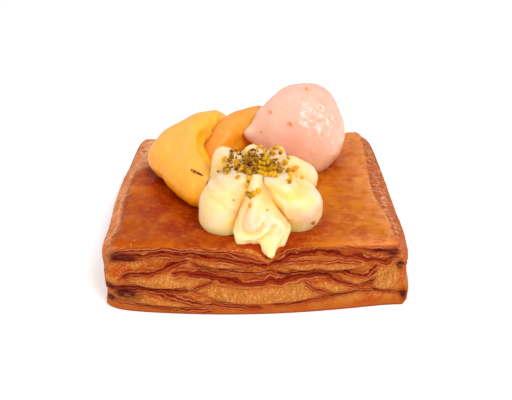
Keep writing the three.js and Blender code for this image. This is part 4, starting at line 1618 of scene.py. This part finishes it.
        # Paler blotches: baked paler dough, and a painted highlight along the right rim.
        top = wire.tint(top, wire.product(pale, blotch), self.pale_sheet)
        cracks = wire.ramp(wire.noise(wire.stretched(where, 0.5, 1.6, 1), 520, 3.0, 0.65), 0.4, 0.36)
        top = wire.tint(top, wire.product(cracks, pale), self.crease, 0.6)
        top = wire.tint(top, wire.ramp(wire.noise(where, 480, 4.0), 0.5, 0.72, 0.0, 0.3), self.sheet_light)
        # Pale spots on the right: partly mottling, partly painted highlights.
        dab = wire.ramp(wire.noise(where, 330, 4.0, 0.65), 0.5, 0.68)
        top = wire.tint(top, wire.product(dab, rightward), self.pale_sheet, 0.45)
        dents = wire.noise(where, 210, 3.0, 0.6)
        top = wire.tint(top, wire.ramp(dents, 0.42, 0.3, 0.0, 0.4), self.sheet_dark)
        return wire.tint(top, wire.ramp(wire.noise(where, 900, 1.0), 0.77, 0.8, 0.0, 0.7), self.flake)


@dataclass(frozen=True)
class FleshFinish(Finish):
    """Wet poached peach flesh, with painted shade low down and at its hollow's rim, and partly in its hollow.
    """

    shadow: float = 0.35
    light: Colour = (252, 180, 74)
    deep: Colour = (255, 190, 20)
    low: Colour = (255, 162, 4)
    # Painted shade colour at the hollow's rim.
    rim: Colour = (246, 150, 8)
    vein: Colour = (255, 214, 140)

    settings: ClassVar[Dict[str, object]] = {
        "Roughness": 0.42,
        "Specular IOR Level": 0.3,
        "Subsurface Weight": 0.35,
        "Subsurface Radius": (1.0, 0.5, 0.15),
        "Subsurface Scale": 0.004,
    }

    def looks(self, wire: Wiring, where: Socket) -> Dict[str, object]:
        """Works out the flesh: deeper in the hollow, partly painted shade; more saturated low down and darker
        at the hollow's rim, both painted shade; with pale veins.

        Args:
            wire: The material's wiring.
            where: Coordinates.

        Returns:
            Sockets by shader input.
        """
        inner, low, edge = wire.masks("flesh")
        # Painted shade low down, in part in the hollow, and at the hollow's rim.
        colour = wire.tint(linear(*self.light), low, self.low)
        colour = wire.tint(colour, inner, self.deep)
        colour = wire.tint(colour, edge, self.rim, self.shadow)
        veins = wire.noise(wire.stretched(where, 1, 0.3, 1), 380, 3.0)
        return {"Base Color": wire.tint(colour, wire.ramp(veins, 0.5, 0.75, 0.0, 0.22), self.vein)}


@dataclass(frozen=True)
class PinkFinish(Finish):
    """Wet translucent pink fruit, with painted highlight streaks."""

    skin: Colour = (250, 180, 156)
    # Painted reflected light of the sheet, low down.
    painted_reflection: Colour = (228, 168, 120)
    milky: Colour = (255, 204, 186)
    # Painted light on the left side.
    left: Colour = (254, 197, 170)
    # Painted highlight colour of the streaks.
    painted_shine: Colour = (255, 232, 222)

    settings: ClassVar[Dict[str, object]] = {
        "Roughness": 0.4,
        "Subsurface Weight": 0.8,
        "Subsurface Radius": (1.0, 0.6, 0.5),
        "Subsurface Scale": 0.008,
        "Coat Weight": 0.36,
        "Coat Roughness": 0.13,
    }

    def looks(self, wire: Wiring, where: Socket) -> Dict[str, object]:
        """Works out the skin: warmer low down as painted reflected light, lighter on the left as painted
        light, milky in patches, with painted highlight streaks.

        Args:
            wire: The material's wiring.
            where: Coordinates.

        Returns:
            Sockets by shader input.
        """
        # Painted reflected light: warmer low down, as lit by the orange sheet below.
        colour = wire.tint(linear(*self.skin), wire.ramp(wire.part(where, 2), 0.042, 0.026), self.painted_reflection)
        colour = wire.tint(colour, wire.ramp(wire.noise(where, 120, 4.0), 0.4, 0.75, 0.0, 0.5), self.milky)
        # Painted light: lighter on the left side, lifting its shade.
        colour = wire.tint(colour, wire.ramp(wire.part(where, 0), 0.016, 0.0), self.left)
        # Painted highlights: whitish streaks on the right side.
        return {"Base Color": wire.tint(colour, wire.masks("wet_sheen")[0], self.painted_shine, 0.75)}


@dataclass(frozen=True)
class CreamFinish(Finish):
    """Soft custard cream, with painted light low down and at the tail's foot: an emission that lifts the
    shade there.
    """

    body: Colour = (255, 209, 172)
    shade: Colour = (255, 209, 128)
    # Painted shade in the folds and grooves.
    fold_shade: Colour = (255, 213, 98)
    # Painted light low down.
    painted_foot_light: Colour = (200, 214, 125)
    # Painted light at the tail's foot.
    painted_hem_light: Colour = (255, 224, 160)

    bump: ClassVar[float] = 0.00012
    settings: ClassVar[Dict[str, object]] = {
        "Roughness": 0.4,
        "Specular IOR Level": 0.35,
        "Subsurface Weight": 0.85,
        "Subsurface Radius": (1.0, 0.9, 0.45),
        "Subsurface Scale": 0.009,
        # Painted light: the strength of the emission that the glow colours drive.
        "Emission Strength": 0.28,
    }

    def looks(self, wire: Wiring, where: Socket) -> Dict[str, object]:
        """Works out the cream, with painted shade in its folds and low down, and painted light low down and
        at the tail's foot.

        Args:
            wire: The material's wiring.
            where: Coordinates.

        Returns:
            Sockets by shader input.
        """
        fold_shade, valley, low = wire.masks("cream")
        tone = wire.ramp(wire.noise(where, 95, 3.0), 0.4, 0.66, 0.0, 0.6)
        colour = wire.tint(linear(*self.body), tone, self.shade)
        # Painted shade: yellower low down.
        colour = wire.tint(colour, low, self.shade, 0.6)
        # Painted shade: yellower in the folds and grooves between lobes.
        colour = wire.tint(colour, wire.math("MAXIMUM", fold_shade, valley), self.fold_shade, 0.6)
        # Painted light: an emission low down and at the tail's foot lifts the shade there.
        glow = wire.tint(BLACK, low, self.painted_foot_light, 0.8)
        glow = wire.tint(glow, wire.masks("hem")[0], self.painted_hem_light)
        return {"Base Color": colour, "Emission Color": glow}


@dataclass(frozen=True)
class CrumbFinish(Finish):
    """One kind of crumb, in two tones, with a share of subsurface light."""

    main: Colour
    other: Colour
    glow: float

    bump: ClassVar[float] = 0.00015
    settings: ClassVar[Dict[str, object]] = {
        "Roughness": 0.45,
        "Specular IOR Level": 0.2,
        "Subsurface Radius": (1.0, 0.7, 0.2),
        "Subsurface Scale": 0.0015,
    }

    def looks(self, wire: Wiring, where: Socket) -> Dict[str, object]:
        """Mixes the two tones in patches.

        Args:
            wire: The material's wiring.
            where: Coordinates.

        Returns:
            Sockets and constants by shader input.
        """
        tone = wire.ramp(wire.noise(where, 520, 2.0), 0.4, 0.62)
        colour = wire.tint(linear(*self.main), tone, self.other)
        return {"Base Color": colour, "Subsurface Weight": self.glow}


# Chopped nuts


def crumb_tree() -> bpy.types.NodeTree:
    """Geometry nodes that put an angular crumb on every point.

    Returns:
        The node tree, with inputs for the points, the seed, the roughening and the material.
    """
    tree = bpy.data.node_groups.new("crumbs", "GeometryNodeTree")
    inputs = {"Geometry": "Geometry", "Seed": "Int", "Roughen": "Float", "Material": "Material"}
    for label, kind in inputs.items():
        tree.interface.new_socket(label, in_out="INPUT", socket_type="NodeSocket" + kind)
    tree.interface.new_socket("Geometry", in_out="OUTPUT", socket_type="NodeSocketGeometry")
    wire = Wiring(tree)
    entry = wire.add("NodeGroupInput")
    ball = wire.add("GeometryNodeMeshIcoSphere", {"Radius": 1.0, "Subdivisions": 2})
    seed = entry.outputs["Seed"]
    turns = {0: (0.0, 0.0, 0.0), 1: (6.283, 6.283, 6.283), "Seed": seed}
    turn = wire.add("FunctionNodeRandomValue", turns, data_type="FLOAT_VECTOR")
    shapes = {0: (0.55, 0.5, 0.4), 1: (1.45, 1.1, 0.85), "Seed": seed}
    shape = wire.add("FunctionNodeRandomValue", shapes, data_type="FLOAT_VECTOR")
    size = wire.add("GeometryNodeInputNamedAttribute", {"Name": "size"}, data_type="FLOAT")
    scaled = {0: shape.outputs[0], "Scale": size.outputs[0]}
    scale = wire.add("ShaderNodeVectorMath", scaled, operation="SCALE")
    spread = wire.add(
        "GeometryNodeInstanceOnPoints",
        {
            "Points": entry.outputs["Geometry"],
            "Instance": ball.outputs[0],
            "Rotation": turn.outputs[0],
            "Scale": scale.outputs[0],
        },
    )
    real = wire.add("GeometryNodeRealizeInstances", {0: spread.outputs[0]})
    noise = wire.add("ShaderNodeTexNoise", {"Scale": 900.0, "Detail": 1.0})
    around = {0: noise.outputs[1], 1: (0.5, 0.5, 0.5)}
    middle = wire.add("ShaderNodeVectorMath", around, operation="SUBTRACT")
    roughen = {0: middle.outputs[0], "Scale": entry.outputs["Roughen"]}
    amount = wire.add("ShaderNodeVectorMath", roughen, operation="SCALE")
    moved = wire.add("GeometryNodeSetPosition", {0: real.outputs[0], "Offset": amount.outputs[0]})
    flat = wire.add("GeometryNodeSetShadeSmooth", {0: moved.outputs[0], "Shade Smooth": False})
    coat = {0: flat.outputs[0], "Material": entry.outputs["Material"]}
    dressed = wire.add("GeometryNodeSetMaterial", coat)
    wire.add("NodeGroupOutput", {0: dressed.outputs[0]})
    return tree


@dataclass(frozen=True)
class CrumbKind:
    """One kind of crumb and how it lies on the cream.

    Attributes:
        finish: Its material.
        heap: How many lie in the heap.
        spread: How widely the heap spreads.
        middle: Middle of the heap.
        sizes: Smallest and largest half size.
        pile: How high they pile up.
        seats: Turn, climb and half size of the single crumbs.
        seed: Which draw it is.
    """

    finish: CrumbFinish
    heap: int
    spread: float
    middle: Tuple[float, float]
    sizes: Tuple[float, float]
    pile: float
    seats: Tuple[Tuple[float, float, float], ...]
    seed: int


CRUMB_KINDS = (
    CrumbKind(
        CrumbFinish("nut_green", (134, 82, 4), (182, 132, 6), 0.3),
        170, 4.5, (-0.4, -28.4), (0.5, 1.3), 2.1,
        ((204, 0.78, 1.5), (208, 0.77, 1.1), (166, 0.79, 1.3), (258, 0.65, 1.3), (336, 0.83, 1.3),
         (192, 0.72, 0.7), (308, 0.75, 0.8), (251, 0.72, 0.8), (330, 0.82, 1.0), (327, 0.2, 0.7)),
        3,
    ),
    CrumbKind(
        CrumbFinish("nut_yellow", (232, 172, 10), (208, 146, 6), 0.6),
        125, 6.0, (3.0, -29.0), (0.4, 1.3), 1.6,
        ((266, 0.69, 1.7), (262, 0.67, 1.3), (249, 0.75, 1.2), (251, 0.7, 1.0), (358, 0.73, 1.7),
         (258, 0.56, 0.9), (276, 0.51, 0.5), (237, 0.55, 0.5), (300, 0.88, 1.3), (312, 0.77, 1.0),
         (280, 0.84, 1.3), (210, 0.76, 1.0), (270, 0.4, 0.35), (215, 0.6, 0.4), (164, 0.76, 1.0)),
        4,
    ),
    CrumbKind(
        CrumbFinish("nut_brown", (84, 24, 6), (136, 58, 10), 0.05),
        140, 4.2, (-1.4, -28.2), (0.3, 0.75), 2.1,
        ((228, 0.85, 0.5), (262, 0.86, 0.5), (336, 0.85, 0.4), (46, 0.84, 0.6), (300, 0.84, 0.4)),
        5,
    ),
)


@dataclass(frozen=True)
class FruitSpecks:
    """Orange specks of fruit on the pink dome.

    Attributes:
        finish: Their material.
        seats: Direction from the dome's middle and half size of each.
    """

    finish: CrumbFinish = CrumbFinish("orange_speck", (240, 186, 84), (218, 146, 44), 0.6)
    seats: Tuple[Tuple[float, float, float, float], ...] = (
        (0.13, -0.12, 0.98, 0.8), (0.19, -0.16, 0.97, 0.55), (-0.61, -0.49, 0.62, 0.6),
        (-0.24, -0.82, 0.52, 0.85), (-0.78, -0.57, 0.26, 0.6), (-0.32, -0.84, 0.43, 0.3),
        (0.03, -0.46, 0.89, 0.4), (-0.83, -0.26, 0.49, 0.3), (-0.63, -0.67, 0.39, 0.3),
        (-0.2, -0.85, 0.49, 0.6),
    )

    def build(self, nodes: bpy.types.NodeTree, effect: bpy.types.NodeTree) -> bpy.types.Object:
        """Makes the specks.

        Args:
            nodes: The crumb nodes.
            effect: Shared unevenness.

        Returns:
            The piece.
        """
        seats = np.array(self.seats)
        toward = seats[:, :3] / np.linalg.norm(seats[:, :3], axis=1, keepdims=True)
        places = PINK.skin(toward) + toward * 0.05
        return instanced(nodes, "fruit_specks", places, seats[:, 3], self.finish.build(effect), 9)


@dataclass(frozen=True)
class Flake:
    """A thin brown flake lying on the peach.

    Attributes:
        path: Its middle line.
        half_width: Half its width.
        half_thickness: Half its thickness.
        finish: Its material.
    """

    path: Tuple[Tuple[float, float, float], ...] = (
        (-22.9, -17.8, 34.9), (-21.7, -18.9, 34.8), (-20.6, -19.7, 34.7), (-18.5, -21.0, 34.2),
    )
    half_width: float = 0.62
    half_thickness: float = 0.2
    finish: CrumbFinish = CrumbFinish("brown_flake", (112, 44, 10), (176, 104, 36), 0.05)

    def shell(self, carrier: Shell, rings: int = 26, sides: int = 14) -> Shell:
        """Works out the flake.

        Args:
            carrier: The skin that it lies on.
            rings: Sections along it.
            sides: Points round a section.

        Returns:
            The closed shell.
        """
        tree = carrier.tree()
        share = np.linspace(0, 1, rings)
        corners = np.array(self.path)
        numbers = np.arange(len(corners))
        line = np.stack([np.interp(share * numbers[-1], numbers, corners[:, i]) for i in range(3)], axis=-1)
        spots, normals = np.empty_like(line), np.empty_like(line)
        for row, aim in enumerate(line):
            spot, normal, _, _ = tree.find_nearest(Vector(aim))
            spots[row], normals[row] = spot, normal
        across = np.cross(normals, np.gradient(spots, axis=0))
        across /= np.linalg.norm(across, axis=1, keepdims=True)
        ragged = 1 + 0.4 * Ripples(91, 1.1).at(line)
        wide = self.half_width * np.sqrt(np.maximum(0.03, np.sin(math.pi * share))) * ragged
        angle = np.linspace(0, 2 * math.pi, sides, endpoint=False)
        ring = (
            spots[:, None]
            + across[:, None] * (wide[:, None] * np.cos(angle))[..., None]
            + normals[:, None] * (0.12 + self.half_thickness * np.sin(angle))[:, None]
        )
        return Shell.of_rings(ring[0].mean(axis=0), ring, ring[-1].mean(axis=0))


class Crumbs:
    """Chopped nuts on the cream.

    Attributes:
        lowest: Least height of the cream where a crumb of the heap may lie.
        highest: Greatest height of the cream there.
        widest: How far from the heap's middle it may lie, in spreads.
        above: Height from which the cream is looked for.
    """

    lowest = 36.0
    highest = 44.6
    widest = 2.2
    above = 70.0

    def __init__(self, cream: Shell) -> None:
        """Keeps what carries the crumbs."""
        self.tree = cream.tree()
        self.nodes = crumb_tree()

    def points(self, kind: CrumbKind) -> Tuple[Array, Array]:
        """Places and sizes of the crumbs of one kind.

        Args:
            kind: The kind.

        Returns:
            Places and half sizes, in millimetres.
        """
        rng = np.random.default_rng(kind.seed)
        places, sizes = [], []
        while len(places) < kind.heap:
            x, y = rng.normal(kind.middle, kind.spread)
            spot, normal, _, _ = self.tree.ray_cast(Vector((x, y, self.above)), Vector((0, 0, -1)))
            away = math.hypot(x - kind.middle[0], y - kind.middle[1]) / kind.spread
            if spot is None or spot.z > self.highest or spot.z < self.lowest or away > self.widest:
                continue
            size = kind.sizes[0] + (kind.sizes[1] - kind.sizes[0]) * rng.random() ** 2
            lift = kind.pile * rng.random() * math.exp(-away * away)
            places.append(np.array(spot) + np.array(normal) * size * 0.35 + np.array((0, 0, lift)))
            sizes.append(size)
        for turn, climb, size in kind.seats:
            aim = CREAM.points(np.array(float(turn)), np.array(float(climb)))
            spot, normal, _, _ = self.tree.find_nearest(Vector(aim))
            places.append(np.array(spot) + np.array(normal) * size * 0.3)
            sizes.append(size)
        return np.array(places), np.array(sizes)

    def build(self, kind: CrumbKind, effect: bpy.types.NodeTree) -> bpy.types.Object:
        """Makes the piece of one kind.

        Args:
            kind: The kind.
            effect: Shared unevenness.

        Returns:
            The piece.
        """
        places, sizes = self.points(kind)
        name = kind.finish.name + "_crumbs"
        return instanced(self.nodes, name, places, sizes, kind.finish.build(effect), kind.seed)


# How far the corners of a crumb are moved, at most about half of it each way.
ROUGHNESS = 1.1 * MM


def instanced(
    nodes: bpy.types.NodeTree,
    name: str,
    places: Array,
    sizes: Array,
    material: bpy.types.Material,
    seed: int,
) -> bpy.types.Object:
    """Runs the crumb nodes on some points and keeps the plain mesh.

    Args:
        nodes: The crumb nodes.
        name: Name of the piece.
        places: Places in millimetres.
        sizes: Half sizes in millimetres.
        material: Material of the crumbs.
        seed: Seed of their turns and shapes.

    Returns:
        The piece.
    """
    mesh = bpy.data.meshes.new(name + "_points")
    mesh.from_pydata(((places + CENTRING) * MM).tolist(), [], [])
    mesh.attributes.new("size", "FLOAT", "POINT").data.foreach_set("value", (sizes * MM).astype(np.float32))
    carrier = bpy.data.objects.new(name + "_points", mesh)
    bpy.context.scene.collection.objects.link(carrier)
    modifier = carrier.modifiers.new("crumbs", "NODES")
    modifier.node_group = nodes
    values = {"Seed": seed, "Roughen": ROUGHNESS, "Material": material}
    for item in nodes.interface.items_tree:
        if item.item_type == "SOCKET" and item.in_out == "INPUT" and item.name in values:
            modifier[item.identifier] = values[item.name]
    depsgraph = bpy.context.evaluated_depsgraph_get()
    plain = bpy.data.meshes.new_from_object(carrier.evaluated_get(depsgraph))
    plain.name = name
    carrier.modifiers.remove(modifier)
    bpy.data.objects.remove(carrier)
    piece = bpy.data.objects.new(name, plain)
    bpy.context.scene.collection.objects.link(piece)
    return piece


# The stage


@dataclass(frozen=True)
class Lamp:
    """A soft square lamp aimed at the pastry.

    Attributes:
        name: Its name.
        place: Where it stands, in metres.
        size: Side of its panel.
        power: Its power in watts.
    """

    name: str
    place: Tuple[float, float, float]
    size: float
    power: float

    TARGET = Vector((0, 0, 0.02))

    def build(self) -> None:
        """Adds the lamp."""
        data = bpy.data.lights.new(self.name, "AREA")
        data.shape = "SQUARE"
        data.size = self.size
        data.energy = self.power
        lamp = bpy.data.objects.new(self.name, data)
        lamp.location = self.place
        toward = self.TARGET - Vector(self.place)
        lamp.rotation_euler = toward.to_track_quat("-Z", "Y").to_euler()
        bpy.context.scene.collection.objects.link(lamp)


@dataclass(frozen=True)
class Studio:
    """Pale floor, soft lights and the camera.

    Attributes:
        aim: Height in metres that the camera looks at.
        distance: From there to the camera.
        elevation: How steeply it looks down, in degrees.
        lens: Its focal length in millimetres.
        sky: Strength of the even light from all round.
        floor_size: Side of the floor.
        floor_level: Height of the floor.
        floor_glow: Strength of the floor's own light.
        lamps: The lamps.
    """

    aim: float = 0.01333
    distance: float = 0.2797
    elevation: float = 28.21
    lens: float = 50.64
    sky: float = 0.62
    floor_size: float = 6.0
    floor_level: float = -0.0002
    floor_glow: float = 0.25
    lamps: Tuple[Lamp, ...] = (
        Lamp("key", (0.3, -0.42, 0.62), 0.35, 3.9),
        Lamp("fill", (-0.6, -0.4, 0.5), 0.7, 1.5),
    )

    def add_floor(self) -> None:
        """Makes the plain pale floor."""
        bpy.ops.mesh.primitive_plane_add(size=self.floor_size, location=(0, 0, self.floor_level))
        floor = bpy.context.object
        floor.name = "floor"
        material, wire, shader, where = new_material("pale_floor")
        shade = wire.mix(wire.noise(where, 3.0), (0.93, 0.93, 0.93, 1), (0.95, 0.95, 0.95, 1))
        glow = {"Emission Color": WHITE, "Emission Strength": self.floor_glow}
        wire.feed(shader, {"Base Color": shade, "Roughness": 0.8, **glow})
        floor.data.materials.append(material)

    def add_sky(self) -> None:
        """Sets the even light from all round."""
        world = bpy.data.worlds.new("studio")
        world.use_nodes = True
        background = world.node_tree.nodes["Background"]
        background.inputs[0].default_value = WHITE
        background.inputs[1].default_value = self.sky
        bpy.context.scene.world = world

    def add_camera(self) -> None:
        """Sets the camera at the photograph's angle."""
        data = bpy.data.cameras.new("camera")
        data.lens = self.lens
        data.sensor_width = 36.0
        data.sensor_fit = "HORIZONTAL"
        data.clip_start = 0.01
        camera = bpy.data.objects.new("camera", data)
        steep = math.radians(self.elevation)
        back = Vector((0, -math.cos(steep), math.sin(steep)))
        aim = Vector((CENTRING[0] * MM, CENTRING[1] * MM, self.aim))
        camera.location = aim + back * self.distance
        camera.rotation_euler = (math.pi / 2 - steep, 0, 0)
        bpy.context.scene.collection.objects.link(camera)
        bpy.context.scene.camera = camera

    def build(self) -> None:
        """Builds the stage."""
        bpy.context.scene.view_settings.view_transform = "Standard"
        self.add_camera()
        self.add_floor()
        self.add_sky()
        for lamp in self.lamps:
            lamp.build()


# Putting it together


# The segment behind is darker than the one before it, and takes more of the painted shade at its hollow's
# rim.
BACK_FLESH = FleshFinish(
    "peach_flesh_deep", 0.5, light=(234, 156, 62), deep=(250, 164, 10), low=(238, 140, 6)
)


class Pastry:
    """All pieces of the object."""

    def __init__(self) -> None:
        """Builds the shared effects."""
        self.crumbly = surface_group("crumbly_surface", 350, 1300)
        self.smooth = surface_group("smooth_surface", 140, 600)

    def register(self, piece: bpy.types.Object, node: Optional[Node] = None) -> None:
        """Registers a piece and reports it.

        Args:
            piece: The piece.
            node: The solid that it stands for, if any.
        """
        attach(piece, "root")
        if node is not None:
            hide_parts(node.value)
        LOG.info("%s: %d faces", piece.name, len(piece.data.polygons))

    def shells(self) -> Dict[Node, Shell]:
        """Works out the skins of the solids, set clear of each other.

        Returns:
            The shells by node.
        """
        dough, pink = DOUGH.shell(), PINK.shell()
        back, front = BACK_PEACH.shell(), FRONT_PEACH.shell()
        cream = CREAM.shell()
        back.push_clear(pink, TOUCH)
        front.push_clear(back, TOUCH)
        for other in (pink, back, front):
            cream.push_clear(other, TOUCH)
        cream.push_clear(dough, -SINK, reach=30.0)
        return {
            Node.DOUGH: dough,
            Node.FRONT_PEACH: front,
            Node.BACK_PEACH: back,
            Node.PINK: pink,
            Node.CREAM: cream,
        }

    def build(self) -> None:
        """Builds every piece in order."""
        shells = self.shells()
        for node, name, finish, effect in (
            (Node.DOUGH, "baked_block", DoughFinish("baked_dough"), self.crumbly),
            (Node.FRONT_PEACH, "peach_before", FleshFinish("peach_flesh"), self.smooth),
            (Node.BACK_PEACH, "peach_behind", BACK_FLESH, self.smooth),
            (Node.PINK, "pink_dome", PinkFinish("pink_flesh"), self.smooth),
            (Node.CREAM, "piped_cream", CreamFinish("custard_cream"), self.smooth),
        ):
            piece = shells[node].to_piece(name)
            piece.data.materials.append(finish.build(effect))
            self.register(piece, node)
        crumbs = Crumbs(shells[Node.CREAM])
        for kind in CRUMB_KINDS:
            self.register(crumbs.build(kind, self.crumbly))
        self.register(FruitSpecks().build(crumbs.nodes, self.crumbly))
        flake = Flake()
        piece = flake.shell(shells[Node.FRONT_PEACH]).to_piece("peach_flake")
        piece.data.materials.append(flake.finish.build(self.crumbly))
        self.register(piece)


def main() -> None:
    """Builds the scene and notes its size."""
    Studio().build()
    Pastry().build()
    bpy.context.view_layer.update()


if __name__ == "__main__":
    main()
